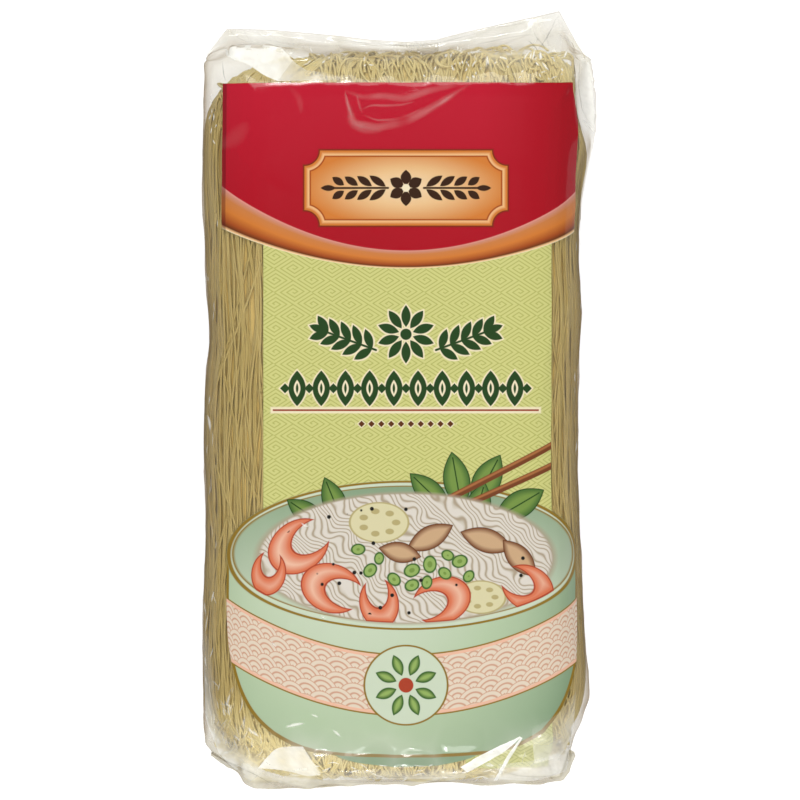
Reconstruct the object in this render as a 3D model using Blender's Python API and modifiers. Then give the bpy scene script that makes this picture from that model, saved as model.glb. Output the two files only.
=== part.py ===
# Bundle of dried rice vermicelli, sealed in a clear film pack that lies on its back.
# +Y is the pack's top end, +X its right side, +Z its front; the back rests flat on z = 0.
# The origin is under the middle of the pack, at the bottom. Lengths are in metres.

import math

import bmesh
import bpy
from mathutils import Vector, noise

# Driving dimensions
PACK_DEPTH = 0.037          # back to front, over the middle of the noodles
LEFT_SIDE = 0.0662          # from the origin to the film on the left side
RIGHT_SIDE = 0.0604         # and on the right side
BLOCK_BOTTOM = -0.1308      # the bottom end of the folded noodles
BLOCK_TOP = 0.1165          # their top end, where the empty film starts
FILM_TOP = 0.1220           # the folded film edge in the middle of the top end
FILM_EDGE_HEIGHT = 0.0145   # how high that edge stands above the back
FILM_EDGE_HALF = 0.0016     # half of the film's bunched thickness there
EAR_INSET = 0.0050          # the empty film on the right is gathered in by this much
SIDE_ROUND = 0.0050         # how far the front edge rounds in and down along the sides
BACK_ROUND = 0.0040         # the same along the back edge
END_ROUND = 0.0065          # and at the bottom end
LUMP_HEIGHT = 0.0007        # unevenness of the noodles under the film
LUMP_SIZE = 0.030

# How far each side stands out (+) or in (-) from its driving dimension, from bottom to top: (y, offset)
LEFT_SHAPE = [
    (-0.130, -0.0030), (-0.120, 0.0006), (-0.100, 0.0004), (-0.085, 0.0008), (-0.066, 0.0000),
    (-0.046, -0.0004), (-0.024, 0.0006), (0.004, -0.0002), (0.016, -0.0022), (0.030, -0.0006),
    (0.050, 0.0000), (0.077, 0.0008), (0.100, 0.0003), (0.117, -0.0006),
]
RIGHT_SHAPE = [
    (-0.128, -0.0030), (-0.119, -0.0026), (-0.108, 0.0016), (-0.100, 0.0032), (-0.084, 0.0025),
    (-0.066, 0.0013), (-0.020, 0.0000), (0.010, 0.0000), (0.027, 0.0018), (0.042, 0.0004),
    (0.068, 0.0002), (0.098, 0.0026), (0.117, 0.0026),
]
# The loose film corner stands out of the right side below the top end: (y, reach)
WING_SHAPE = [(0.066, 0.0), (0.080, 0.0034), (0.092, 0.0064), (0.108, 0.0044), (0.118, 0.0026)]
# The bottom end is cut back at both corners, where the film is tucked in: (x, how far up)
BOTTOM_SHAPE = [
    (-0.0665, 0.0140), (-0.0600, 0.0074), (-0.0540, 0.0022), (-0.0480, -0.0014), (-0.0300, -0.0014),
    (-0.0080, 0.0002), (0.0440, 0.0000), (0.0540, 0.0014), (0.0600, 0.0042),
]
# The folded film edge at the top: a low ear on the left, a tall one on the right: (x, rise over the middle)
FILM_EDGE_SHAPE = [
    (-0.066, -0.0052), (-0.059, 0.0040), (-0.044, 0.0038), (-0.021, 0.0012), (0.002, -0.0010),
    (0.019, 0.0016), (0.034, 0.0056), (0.047, 0.0104), (0.054, 0.0116), (0.060, 0.0012),
]
# The front is fullest below the middle and lower towards both ends: (y, share of the depth)
FRONT_SHAPE = [(-0.130, 0.94), (-0.108, 0.97), (-0.085, 1.0), (0.060, 1.0), (0.092, 0.95), (0.125, 0.90)]
FRONT_CROWN = 0.035         # share of the depth that the front loses between its middle and its sides

# Places across, along and up the cage where its edges start to round, as shares of its half size
FRONT_ROUND_START = 0.75
BACK_ROUND_START = 0.88
BOTTOM_ROUND_START = 0.90
TOP_ROUND_START = 0.95

# Cage and smoothing
CELLS_ACROSS = 12
CELLS_ALONG = 24
CELLS_UP = 4
FILM_CELLS = 2              # rows of the empty film past the noodles
FILM_SPAN = 0.2             # their share of the cage's half length
FILM_THINNING = 0.8         # below 1 the empty film flattens early, next to the noodles
SMOOTH_LEVELS = 1

COLLECTION = "rice_vermicelli_bundle"
NODE = "sealed_pack"


def ramp(value, start, end):
    """0 before start, 1 after end, with a smooth rise between them."""
    t = min(1.0, max(0.0, (value - start) / (end - start)))
    return t * t * (3.0 - 2.0 * t)


def read_shape(shape, place):
    """The value at one place along a list of (place, value), with a smooth change between its points."""
    if place <= shape[0][0]:
        return shape[0][1]
    for (low, low_value), (high, high_value) in zip(shape, shape[1:]):
        if place <= high:
            return low_value + (high_value - low_value) * ramp(place, low, high)
    return shape[-1][1]


def front_height(x, y):
    """Height of the front face above the back."""
    fullness = read_shape(FRONT_SHAPE, y) - FRONT_CROWN * (x / LEFT_SIDE) ** 2
    lumps = noise.noise(Vector((x, y, PACK_DEPTH)) / LUMP_SIZE)
    return PACK_DEPTH * fullness + LUMP_HEIGHT * lumps


def pack_point(across, along, up):
    """Place of a cage point; across and up run from -1 to 1, along from -1 to 1 + FILM_SPAN."""
    block = min(along, 1.0)
    film = max(0.0, along - 1.0) / FILM_SPAN
    y_mid = BLOCK_BOTTOM + (BLOCK_TOP - BLOCK_BOTTOM) * (block + 1.0) / 2.0
    if across < 0.0:
        x = across * (LEFT_SIDE + read_shape(LEFT_SHAPE, y_mid))
    else:
        x = across * (RIGHT_SIDE + read_shape(RIGHT_SHAPE, y_mid))
    low_end = BLOCK_BOTTOM + read_shape(BOTTOM_SHAPE, x)
    y = low_end + (BLOCK_TOP - low_end) * (block + 1.0) / 2.0

    front, back = max(0.0, up), max(0.0, -up)
    at_side = ramp(abs(across), FRONT_ROUND_START, 1.0)
    at_bottom = ramp(-block, BOTTOM_ROUND_START, 1.0)
    z_front = front_height(x, y) - SIDE_ROUND * at_side - END_ROUND * at_bottom
    z_back = BACK_ROUND * max(ramp(abs(across), BACK_ROUND_START, 1.0), at_bottom, ramp(block, TOP_ROUND_START, 1.0))
    z = z_back + (z_front - z_back) * (up + 1.0) / 2.0

    x -= math.copysign((SIDE_ROUND * front ** 3 + BACK_ROUND * back ** 3) * at_side, across)
    y += (END_ROUND * front ** 3 + BACK_ROUND * back ** 3) * at_bottom
    if across == 1.0:
        x += read_shape(WING_SHAPE, y) * (1.0 - abs(up)) ** 2

    y += (FILM_TOP + read_shape(FILM_EDGE_SHAPE, x) - y) * film
    if across > 0.0:
        x -= EAR_INSET * film * at_side
    z += (FILM_EDGE_HEIGHT + FILM_EDGE_HALF * up - z) * film ** FILM_THINNING
    return Vector((x, y, z))


def cut_along(cage, axis, low, high, cells):
    """Cuts the cage into equal cells along one axis."""
    normal = Vector((0.0, 0.0, 0.0))
    normal[axis] = 1.0
    for step in range(1, cells):
        point = normal * (low + (high - low) * step / cells)
        geometry = cage.verts[:] + cage.edges[:] + cage.faces[:]
        bmesh.ops.bisect_plane(cage, geom=geometry, dist=1e-6, plane_co=point, plane_no=normal)


def sealed_pack_mesh():
    """The closed cage of the filled pack, out to its uneven outline."""
    cage = bmesh.new()
    bmesh.ops.create_cube(cage, size=2.0)
    for corner in cage.verts:
        if corner.co.y > 0.0:
            corner.co.y = 1.0 + FILM_SPAN
    cut_along(cage, 0, -1.0, 1.0, CELLS_ACROSS)
    cut_along(cage, 2, -1.0, 1.0, CELLS_UP)
    cut_along(cage, 1, 1.0, 1.0 + FILM_SPAN, FILM_CELLS)
    start = Vector((0.0, 1.0, 0.0))
    geometry = cage.verts[:] + cage.edges[:] + cage.faces[:]
    bmesh.ops.bisect_plane(cage, geom=geometry, dist=1e-6, plane_co=start, plane_no=start)
    cut_along(cage, 1, -1.0, 1.0, CELLS_ALONG)
    for point in cage.verts:
        point.co = pack_point(*point.co)
    bmesh.ops.recalc_face_normals(cage, faces=cage.faces[:])
    mesh = bpy.data.meshes.new(NODE)
    cage.to_mesh(mesh)
    cage.free()
    mesh.shade_smooth()
    return mesh


def clear_film_material():
    """Glossy clear film over pale straw-coloured noodles."""
    material = bpy.data.materials.new("clear_film_over_noodles")
    material.use_nodes = True
    shader = material.node_tree.nodes["Principled BSDF"]
    shader.inputs["Base Color"].default_value = (0.39, 0.30, 0.12, 1.0)
    shader.inputs["Roughness"].default_value = 0.25
    shader.inputs["Metallic"].default_value = 0.0
    return material


def main():
    for thing in list(bpy.data.objects):
        bpy.data.objects.remove(thing, do_unlink=True)
    parts = bpy.data.collections.new(COLLECTION)
    bpy.context.scene.collection.children.link(parts)
    pack = bpy.data.objects.new(NODE, sealed_pack_mesh())
    pack.data.materials.append(clear_film_material())
    parts.objects.link(pack)
    smoothing = pack.modifiers.new("smoothing", "SUBSURF")
    smoothing.levels = SMOOTH_LEVELS
    smoothing.render_levels = SMOOTH_LEVELS


main()
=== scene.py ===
import math

import bmesh
import bpy
import numpy as np
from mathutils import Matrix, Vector, noise
from mathutils.bvhtree import BVHTree


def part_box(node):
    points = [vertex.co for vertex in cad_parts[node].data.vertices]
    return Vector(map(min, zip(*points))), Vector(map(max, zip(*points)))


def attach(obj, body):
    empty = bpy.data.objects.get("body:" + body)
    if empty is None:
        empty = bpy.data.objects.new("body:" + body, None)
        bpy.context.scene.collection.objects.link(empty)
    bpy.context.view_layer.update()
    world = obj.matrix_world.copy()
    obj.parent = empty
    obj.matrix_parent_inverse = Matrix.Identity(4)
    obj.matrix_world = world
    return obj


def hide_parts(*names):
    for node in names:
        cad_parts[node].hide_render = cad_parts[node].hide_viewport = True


# A sealed clear film pack of dried rice vermicelli, lying on its back.
# +Y is the pack's top end, +Z its printed front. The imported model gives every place.
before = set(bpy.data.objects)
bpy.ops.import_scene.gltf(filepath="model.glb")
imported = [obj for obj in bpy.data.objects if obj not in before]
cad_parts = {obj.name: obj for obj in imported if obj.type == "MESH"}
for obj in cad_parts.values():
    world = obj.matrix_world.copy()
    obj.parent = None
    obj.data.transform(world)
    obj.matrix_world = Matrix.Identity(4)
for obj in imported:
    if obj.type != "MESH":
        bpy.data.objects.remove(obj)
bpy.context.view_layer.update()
packNode = "sealed_pack"
packLow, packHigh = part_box(packNode)
mm = 0.001


# ---------- small helpers ----------

def smooth(value, start, end):
    # 0 before start, 1 after end
    t = np.clip((value - start) / (end - start), 0.0, 1.0)
    return t * t * (3.0 - 2.0 * t)


def noiseField(points, size, seed, octaves=3):
    # smooth noise from -1 to 1 at each row of points
    shift = Vector((seed * 3.17, seed * 1.31, seed * 7.7))
    flat = points.reshape(-1, 3) / size
    values = [noise.fractal(Vector(p) + shift, 1.0, 2.0, octaves) for p in flat]
    return np.array(values).reshape(points.shape[:-1])


def linkPiece(name, mesh):
    piece = bpy.data.objects.new(name, mesh)
    bpy.context.scene.collection.objects.link(piece)
    return piece


def rideRoot(piece, material):
    piece.data.materials.append(material)
    piece.data.shade_smooth()
    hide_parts(packNode)
    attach(piece, "root")
    return piece


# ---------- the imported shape, read as rings around the pack ----------

shapeValues = {
    "firstY": -119 * mm,      # the straight part of the pack, between its two ends
    "lastY": 114 * mm,
    "stations": 60,
    "rays": 720,
    "columns": 256,
    "centreZ": 17 * mm,
    "noodleRight": [(55, 60.6), (76, 63.0), (84, 64.0), (90, 62.0), (95, 59.8), (104, 58.8), (114, 57.8)],
    "wingHeight": 16.5 * mm,
    "shoulderStart": 102 * mm,      # the front eases down from here to the top end
    "shoulderDrop": 3.4 * mm,
}


def packTree():
    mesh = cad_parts[packNode].data
    solid = bmesh.new()
    solid.from_mesh(mesh)
    bmesh.ops.remove_doubles(solid, verts=solid.verts[:], dist=1e-6)
    tree = BVHTree.FromBMesh(solid)
    solid.free()
    return tree


def halfRing(points, columns):
    # even steps along a half ring from the front's middle to the back's middle
    lengths = np.concatenate(([0.0], np.cumsum(np.linalg.norm(np.diff(points, axis=0), axis=1))))
    steps = np.linspace(0.0, lengths[-1], columns)
    even = np.column_stack([np.interp(steps, lengths, points[:, axis]) for axis in (0, 1)])
    return even, lengths[-1]


def castRings(tree):
    v = shapeValues
    stations = np.linspace(v["firstY"], v["lastY"], v["stations"])
    half = v["columns"] // 2 + 1
    limitY, limitX = np.array(v["noodleRight"]).T * mm
    rings, lengths = [], []
    for y in stations:
        sides = []
        for side in (1.0, -1.0):
            points = []
            for step in range(v["rays"] // 2 + 1):
                turn = math.pi * step / (v["rays"] // 2)
                way = Vector((side * math.sin(turn), 0.0, math.cos(turn)))
                place, _, _, _ = tree.ray_cast(Vector((0.0, y, v["centreZ"])), way)
                points.append((place.x, place.z))
            sides.append(np.array(points))
        if y > limitY[0]:
            sides[0][:, 0] = np.minimum(sides[0][:, 0], np.interp(y, limitY, limitX))
        ease = v["shoulderDrop"] * max(0.0, (y - v["shoulderStart"]) / (v["lastY"] - v["shoulderStart"])) ** 2
        for points in sides:
            points[:, 1] -= ease * smooth(points[:, 1], v["centreZ"], 30 * mm)
        right, rightLength = halfRing(sides[0], half)
        left, leftLength = halfRing(sides[1], half)
        rings.append(np.vstack([right, left[-2:0:-1]]))
        lengths.append((rightLength, leftLength))
    rings = np.array(rings)
    ahead, behind = np.roll(rings, -1, axis=1), np.roll(rings, 1, axis=1)
    tangent = ahead - behind
    tangent /= np.linalg.norm(tangent, axis=2, keepdims=True)
    outward = np.stack([-tangent[..., 1], tangent[..., 0]], axis=2)
    return {"y": stations, "ring": rings, "out": outward, "length": np.array(lengths)}


def ringPlace(turn, y, depth=0.0):
    # turn runs clockwise from 0 at the front's middle, 0.5 at the back's middle, to 1; depth is inwards
    turn, y = np.broadcast_arrays(np.asarray(turn, float) % 1.0, np.asarray(y, float))
    columns = rings["ring"].shape[1]
    column = turn * columns
    c0 = np.floor(column).astype(int) % columns
    c1 = (c0 + 1) % columns
    cf = (column - np.floor(column))[..., None]
    row = np.clip(np.interp(y, rings["y"], np.arange(len(rings["y"]))), 0, len(rings["y"]) - 1.001)
    r0 = row.astype(int)
    rf = (row - r0)[..., None]

    def read(table):
        low = table[r0, c0] * (1 - cf) + table[r0, c1] * cf
        high = table[r0 + 1, c0] * (1 - cf) + table[r0 + 1, c1] * cf
        return low * (1 - rf) + high * rf

    spot, out = read(rings["ring"]), read(rings["out"])
    out /= np.maximum(np.linalg.norm(out, axis=-1, keepdims=True), 1e-9)
    spot = spot - out * np.asarray(depth)[..., None]
    return spot[..., 0], y, spot[..., 1]


tree = packTree()
rings = castRings(tree)
print("rings read from the packed model:", len(rings["y"]))


# ---------- film ----------

filmValues = {
    "frontColumns": 60,         # for each half of the front, and of the back
    "sideColumns": 34,
    "frontShare": 0.395,        # of a half ring's length
    "sideShare": 0.225,
    "blockRows": 204,
    "topRows": 28,
    "bottomRows": 34,
    "sealHeight": 14.5 * mm,    # the flattened mouth at the top end
    "sealStart": 0.72,          # share of the top rows where the two layers meet
    "sealGap": 0.10 * mm,
    "topEdge": [(-58.6, 125.6), (-44, 125.3), (-21, 123.3), (-10, 121.9), (2, 121.2), (12, 121.9),
                (19, 123.8), (34, 127.2), (47, 130.0), (53.9, 131.6)],       # from ear to ear, in mm
    "leftCorner": (-65.2, 117.2),
    "rightCorner": (62.6, 115.8),
    "leftPuff": 0.55,           # the film stays high for longer above the top left corner
    "bottomEdge": [(-67.0, -116.4), (-64.6, -119.6), (-60.2, -122.6), (-56.6, -124.8), (-53.9, -127.2),
                   (-52.6, -130.4), (-49.8, -131.6), (-42, -131.8), (-24, -130.8), (0, -130.2), (38.7, -130.2),
                   (47.8, -130.6), (54.6, -129.2), (57.2, -122), (58.9, -116.2), (61.6, -112)],
    "leftReach": [(-95, 0.2), (-105, 0.5), (-112, 1.7), (-116, 2.3), (-119, 2.1)],     # y, extra reach in mm
    "rightReach": [(-60, 0), (-84, 0.2), (-95, 1.0), (-101, 1.8), (-109, 0.8), (-114, 0.2), (-119, 0)],
    "foldHeight": 0.9 * mm,     # the bottom end is folded down to here
    "endSquare": 0.62,
}


def filmColumns():
    # the share of the half ring at each column, from the front's middle to the back's
    v = filmValues
    front = np.linspace(0.0, v["frontShare"], v["frontColumns"] + 1)
    side = np.linspace(v["frontShare"], v["frontShare"] + v["sideShare"], v["sideColumns"] + 1)[1:]
    back = np.linspace(v["frontShare"] + v["sideShare"], 1.0, v["frontColumns"] + 1)[1:]
    return np.concatenate([front, side, back])


def wing(points, shares):
    # the loose film corner: a thin fold that stands out of the right side
    v = shapeValues
    for row in range(points.shape[0]):
        y = points[row, 0, 1]
        if y < v["noodleRight"][0][0] * mm:
            continue
        place, _, _, _ = tree.ray_cast(Vector((0.2, min(y, 0.116), 17.5 * mm)), Vector((-1.0, 0.0, 0.0)))
        reach = max(0.0, place.x - points[row, :, 0].max()) + 0.3 * mm
        reach *= float(smooth(np.array(y), 55 * mm, 64 * mm))
        height = v["wingHeight"] + 1.5 * mm * math.sin(y / 9 / mm)
        near = np.clip(1.0 - np.abs(points[row, :, 2] - height) / (6.5 * mm), 0.0, 1.0)
        near *= (shares > 0.38) & (shares < 0.66)
        points[row, :, 0] += reach * near ** 0.75
        points[row, :, 2] += (height - points[row, :, 2]) * np.minimum(near * 1.5, 0.92)


def filmHalf(side):
    # rows of points for one half of the film, from the bottom fold to the top seal
    v = filmValues
    shares = filmColumns()
    turns = shares / 2 if side > 0 else 1.0 - shares / 2
    ys = np.linspace(shapeValues["firstY"], shapeValues["lastY"], v["blockRows"] + 1)
    x, y, z = ringPlace(turns[None, :], ys[:, None])
    block = np.stack([x, y, z], axis=2)
    if side > 0:
        wing(block, shares)
    n, m = v["frontColumns"], v["sideColumns"]
    total = 2 * n + m
    mirror = total - np.arange(total + 1)
    across = np.clip((np.arange(total + 1) - n) / m, 0.0, 1.0)
    middle = 1.0 - np.abs(2.0 * across - 1.0)       # 1 half-way down the side
    reachY, reach = np.array(v["rightReach" if side > 0 else "leftReach"][::-1]).T * mm
    reach = np.interp(ys, reachY, reach)
    block[:, :, 0] += side * reach[:, None] * middle ** 0.6

    # top end: the ring flattens to the sealed edge, from ear to ear
    last = block[-1]
    edgeX, edgeTop = np.array(v["topEdge"]).T * mm
    ear = np.array([edgeX[-1], edgeTop[-1]] if side > 0 else [edgeX[0], edgeTop[0]])
    corner = np.array(v["rightCorner"] if side > 0 else v["leftCorner"]) * mm
    flat = np.zeros_like(last)
    flat[:n + 1, 0] = last[:n + 1, 0] * ear[0] / last[n, 0]
    flat[:n + 1, 1] = np.interp(flat[:n + 1, 0], edgeX, edgeTop)
    flat[n:n + m + 1, :2] = ear + (corner - ear) * middle[n:n + m + 1, None]
    flat[n + m:] = flat[mirror[n + m:]]
    flat[:, 2] = v["sealHeight"]
    isFront = np.arange(total + 1) <= n
    layer = np.where(np.arange(total + 1) * 2 < total, 1.0, -1.0) * (1.0 - middle ** 6)
    puff = v["leftPuff"] * smooth(-last[:, 0], 26 * mm, 44 * mm) * isFront
    top = []
    for row in range(1, v["topRows"] + 1):
        t = row / v["topRows"]
        spread = t ** 0.9
        late = np.clip((t - 0.5 * puff) / (1 - 0.5 * puff), 0.12 * t, 1.0) / v["sealStart"]
        sink = (smooth(late, -0.25, 1.0) - 0.104) / 0.896 if t < 1.0 else np.ones(total + 1)
        points = last * (1 - spread) + flat * spread
        gap = v["sealGap"] * layer * (1.0 if t < 1.0 else 0.0)
        points[:, 2] = last[:, 2] * (1 - sink) + (flat[:, 2] + gap) * sink
        top.append(points)

    # bottom end: the front folds down over the end to the back
    first = block[0]
    bottom = []
    foldX = (first[:, 0] + first[mirror, 0]) / 2
    foldX[:n + 1] = first[:n + 1, 0]
    foldX[n + m:] = foldX[mirror[n + m:]]
    lowX, lowEnd = np.array(v["bottomEdge"]).T * mm
    wall = np.minimum(np.interp(foldX, lowX, lowEnd), shapeValues["firstY"] - 0.2 * mm)
    tuck = 1.6 * mm * (1.0 - middle) * smooth(-wall, 120 * mm, 128 * mm)
    foldY = wall + tuck
    isBack = np.arange(total + 1) >= n + m
    for row in range(1, v["bottomRows"] + 1):
        t = row / v["bottomRows"]
        turnIn = t * math.pi / 2
        out, down = math.sin(turnIn) ** v["endSquare"], math.cos(turnIn) ** v["endSquare"]
        if row == v["bottomRows"]:
            down = 0.0
        points = first.copy()
        points[:, 0] += (foldX - first[:, 0]) * t ** 2.5
        over = first[:, 1] + (wall - first[:, 1]) * out + (foldY - wall) * t ** 4
        under = first[:, 1] + (foldY - first[:, 1]) * t
        points[:, 1] = np.where(isBack, under, over)
        points[:, 2] = v["foldHeight"] + (first[:, 2] - v["foldHeight"]) * down
        points[:, 2] = np.where(isBack, first[:, 2] + (v["foldHeight"] - first[:, 2]) * t, points[:, 2])
        bottom.append(points)
    return np.concatenate([np.array(bottom)[::-1], block, np.array(top)])


def filmSheet():
    right, left = filmHalf(1.0), filmHalf(-1.0)
    points = np.concatenate([left[:, :0:-1], right], axis=1)    # back middle, left, front, right, back middle
    steps = np.linalg.norm(np.diff(points, axis=1), axis=2)
    middle = left.shape[1] - 1
    along = np.concatenate([np.zeros((len(points), 1)), np.cumsum(steps, axis=1)], axis=1)
    around = along - along[:, middle:middle + 1]
    frontLine = points[:, middle]
    rise = np.concatenate(([0.0], np.cumsum(np.linalg.norm(np.diff(frontLine, axis=0), axis=1))))
    zero = np.interp(0.0, frontLine[filmValues["bottomRows"]:-filmValues["topRows"], 1],
                     rise[filmValues["bottomRows"]:-filmValues["topRows"]])
    length = np.repeat((rise - zero)[:, None], points.shape[1], axis=1)
    return points, around, length


def sheetNormals(points):
    across = np.gradient(points, axis=1)
    upward = np.gradient(points, axis=0)
    normals = np.cross(across, upward)
    return normals / np.maximum(np.linalg.norm(normals, axis=2, keepdims=True), 1e-12)


def distanceToLine(x, y, line):
    # distance to a chain of points, and how far along it the nearest place is, from 0 to 1
    best = np.full(x.shape, 1e9)
    place = np.zeros(x.shape)
    count = len(line) - 1
    for index in range(count):
        (ax, ay), (bx, by) = line[index], line[index + 1]
        dx, dy = bx - ax, by - ay
        t = np.clip(((x - ax) * dx + (y - ay) * dy) / (dx * dx + dy * dy), 0.0, 1.0)
        distance = np.hypot(x - ax - t * dx, y - ay - t * dy)
        nearer = distance < best
        best = np.where(nearer, distance, best)
        place = np.where(nearer, (index + t) / count, place)
    return best, place


def creaseCells(u, v, spacing, bend, tilt, seed):
    # shallow dishes that meet in straight sharp ridges, the way crumpled film does; all in millimetres
    rng = np.random.default_rng(seed)
    low = np.full(u.shape, 1e9)
    for cu in np.arange(-150, 150, spacing):
        for cv in np.arange(-160, 160, spacing):
            pu, pv = cu + rng.uniform(0, spacing), cv + rng.uniform(0, spacing)
            gu, gv, lift = rng.normal(0, tilt), rng.normal(0, tilt), rng.normal(0, tilt * 2.5)
            du, dv = u - pu, v - pv
            low = np.minimum(low, lift + gu * du + gv * dv + (du * du + dv * dv) / (2 * bend))
    return low - low.mean()


# creases seen from the front: points in millimetres, height, width; a crease fades out at both ends
frontCreases = [
    # pocket wrinkle in the header
    ([(-18.5, 103), (-17.4, 98), (-15.8, 92.6), (-7.4, 91.6), (1.7, 93.0), (8, 96.6), (16.4, 101.2), (24.5, 106.6)],
     0.5, 2.0),
    ([(-18.5, 103.6), (-12.7, 101.6), (-5.9, 101.9), (1.7, 101.2), (9.4, 103.6), (23.6, 106.4)], 0.35, 1.8),
    # folds of the empty film at the top end
    ([(-65, 117), (-50, 119), (-36, 118)], 1.1, 1.6),
    ([(-58, 125), (-48, 120), (-38, 116)], 1.3, 1.4),
    ([(-57, 125), (-54, 114), (-50, 106)], 0.9, 1.6),
    ([(-30, 123), (-10, 119.5), (8, 119), (24, 122)], 0.8, 1.2),
    ([(53, 130), (44, 122), (30, 117)], 1.5, 1.5),
    ([(53, 130), (49, 120), (46, 108)], 1.2, 1.4),
    ([(54, 130), (56, 118), (58, 104)], 1.4, 1.3),
    ([(62, 116), (57, 108), (52, 98)], 0.9, 1.6),
    # bottom end
    ([(-62, -108), (-46, -116), (-34, -124)], 1.0, 1.6),
    ([(-54, -129), (-50, -118), (-38, -108)], 0.9, 1.5),
    ([(-40, -130), (-24, -124), (-6, -126)], 0.8, 1.4),
    ([(18, -123), (30, -118), (40, -112)], 1.0, 1.1),
    ([(29, -129), (35, -121), (40, -114)], 0.9, 1.0),
    ([(56, -126), (50, -116), (44, -104)], 1.0, 1.5),
    ([(61, -104), (52, -112), (40, -118)], 0.8, 1.3),
    # soft pulls on the face
    ([(-64, 60), (-52, 40), (-46, 10)], 0.35, 2.2),
    ([(-60, 88), (-46, 74), (-34, 66)], 0.35, 2.0),
    ([(60, 40), (50, 20), (44, -10)], 0.30, 2.4),
    ([(-64, -10), (-50, -30), (-40, -60)], 0.35, 2.4),
    ([(60, -40), (46, -60), (40, -84)], 0.30, 2.2),
    ([(-38, -42), (-30, -40), (-22, -44)], 0.55, 1.2),
    ([(-44, -84), (-38, -78), (-36, -70)], 0.50, 1.4),
]


def filmRelief(points, around, length):
    # how far the film stands out of the smooth shape, in metres
    x, y = points[..., 0] / mm, points[..., 1] / mm
    normals = sheetNormals(points)
    facing = smooth(normals[..., 2], 0.15, 0.6)
    relief = np.zeros(x.shape)
    for line, height, width in frontCreases:
        distance, place = distanceToLine(x, y, line)
        fade = np.clip(np.minimum(place, 1.0 - place) * 4.0, 0.0, 1.0)
        relief += facing * fade * height * np.exp(-distance / width)
    creased = np.clip(relief, 0.0, 1.0)
    flat = np.stack([around, length, np.zeros(x.shape)], axis=2)
    soft = noiseField(flat, 26 * mm, 1, 2)
    fine = noiseField(flat * np.array([1.0, 0.55, 1.0]), 7 * mm, 2, 2)
    small = creaseCells(around / mm, length / mm, 9.0, 26.0, 0.10, 3)
    large = creaseCells(around / mm, length / mm, 24.0, 190.0, 0.035, 4)
    endPull = smooth(length / mm, 102, 120) + smooth(-length / mm, 98, 120)
    sidePull = smooth(np.abs(around) / mm, 50, 66) * (1 - smooth(np.abs(around) / mm, 96, 110))
    relief += 0.26 * soft + 0.05 * fine + 0.30 * large + (0.85 * endPull + 0.25 * sidePull) * small
    relief += 0.3 * endPull
    rows = np.arange(x.shape[0])[:, None]
    ends = np.minimum(rows / 5.0, 1.0) * np.minimum((x.shape[0] - 1 - rows) / 8.0, 1.0)
    underside = 1.0 - 0.9 * smooth(-normals[..., 2], 0.5, 0.8)
    relief = np.clip(relief, -0.25, 2.5) * np.clip(ends, 0.0, 1.0) * underside * mm
    # painted sheen: the crumpled ends and the creases are painted milky white, partly the film's own haze and partly
    # standing in for the lamps' reflections there
    crumple = smooth(-y, 104, 122) * (0.5 + 0.5 * smooth(-x, -10, 50) + 0.4 * smooth(x, 30, 52))
    crumple += 0.45 * smooth(y, 100, 116) + 0.5 * smooth(-y, 123, 129)
    hazeAndSheen = np.clip(0.40 * crumple * (0.8 + 0.8 * np.clip(small, -0.6, 1.2)) + 0.05 * creased, 0.0, 1.0)
    empty = smooth(y, 117, 121) + smooth(x, 59.5, 61.5) * smooth(y, 84, 94) + smooth(-y, 122, 127)
    empty += smooth(-x, 54, 60) * smooth(-y, 110, 118) + smooth(x, 50, 57) * smooth(-y, 102, 112)
    empty = np.clip(empty, 0.0, 1.0) * (0.75 + 0.5 * np.clip(small, -0.5, 0.5))
    return relief, normals, hazeAndSheen, np.clip(empty, 0.0, 1.0)


def gridPiece(name, points, around, length, marks={}, keep=None):
    # a flat grid, given the sheet's places and a UV map in metres of film, and then closed
    rows, columns = points.shape[:2]
    sheet = bmesh.new()
    bmesh.ops.create_grid(sheet, x_segments=columns - 1, y_segments=rows - 1, size=1.0)
    uvLayer = sheet.loops.layers.uv.new("film")
    markLayers = {mark: sheet.verts.layers.float.new(mark) for mark in marks}
    spots = {}
    for vertex in sheet.verts:
        column = round((vertex.co.x + 1.0) / 2.0 * (columns - 1))
        row = round((vertex.co.y + 1.0) / 2.0 * (rows - 1))
        spots[vertex] = (row, column)
        vertex.co = points[row, column]
        for mark, layer in markLayers.items():
            vertex[layer] = marks[mark][row, column]
    for face in sheet.faces:
        for loop in face.loops:
            row, column = spots[loop.vert]
            loop[uvLayer].uv = (around[row, column], length[row, column])
    if keep is not None:
        away = [f for f in sheet.faces if not any(keep[spots[corner]] for corner in f.verts)]
        bmesh.ops.delete(sheet, geom=away, context="FACES")
    bmesh.ops.remove_doubles(sheet, verts=sheet.verts[:], dist=1e-6)
    mesh = bpy.data.meshes.new(name)
    sheet.to_mesh(mesh)
    sheet.free()
    return linkPiece(name, mesh)
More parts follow.
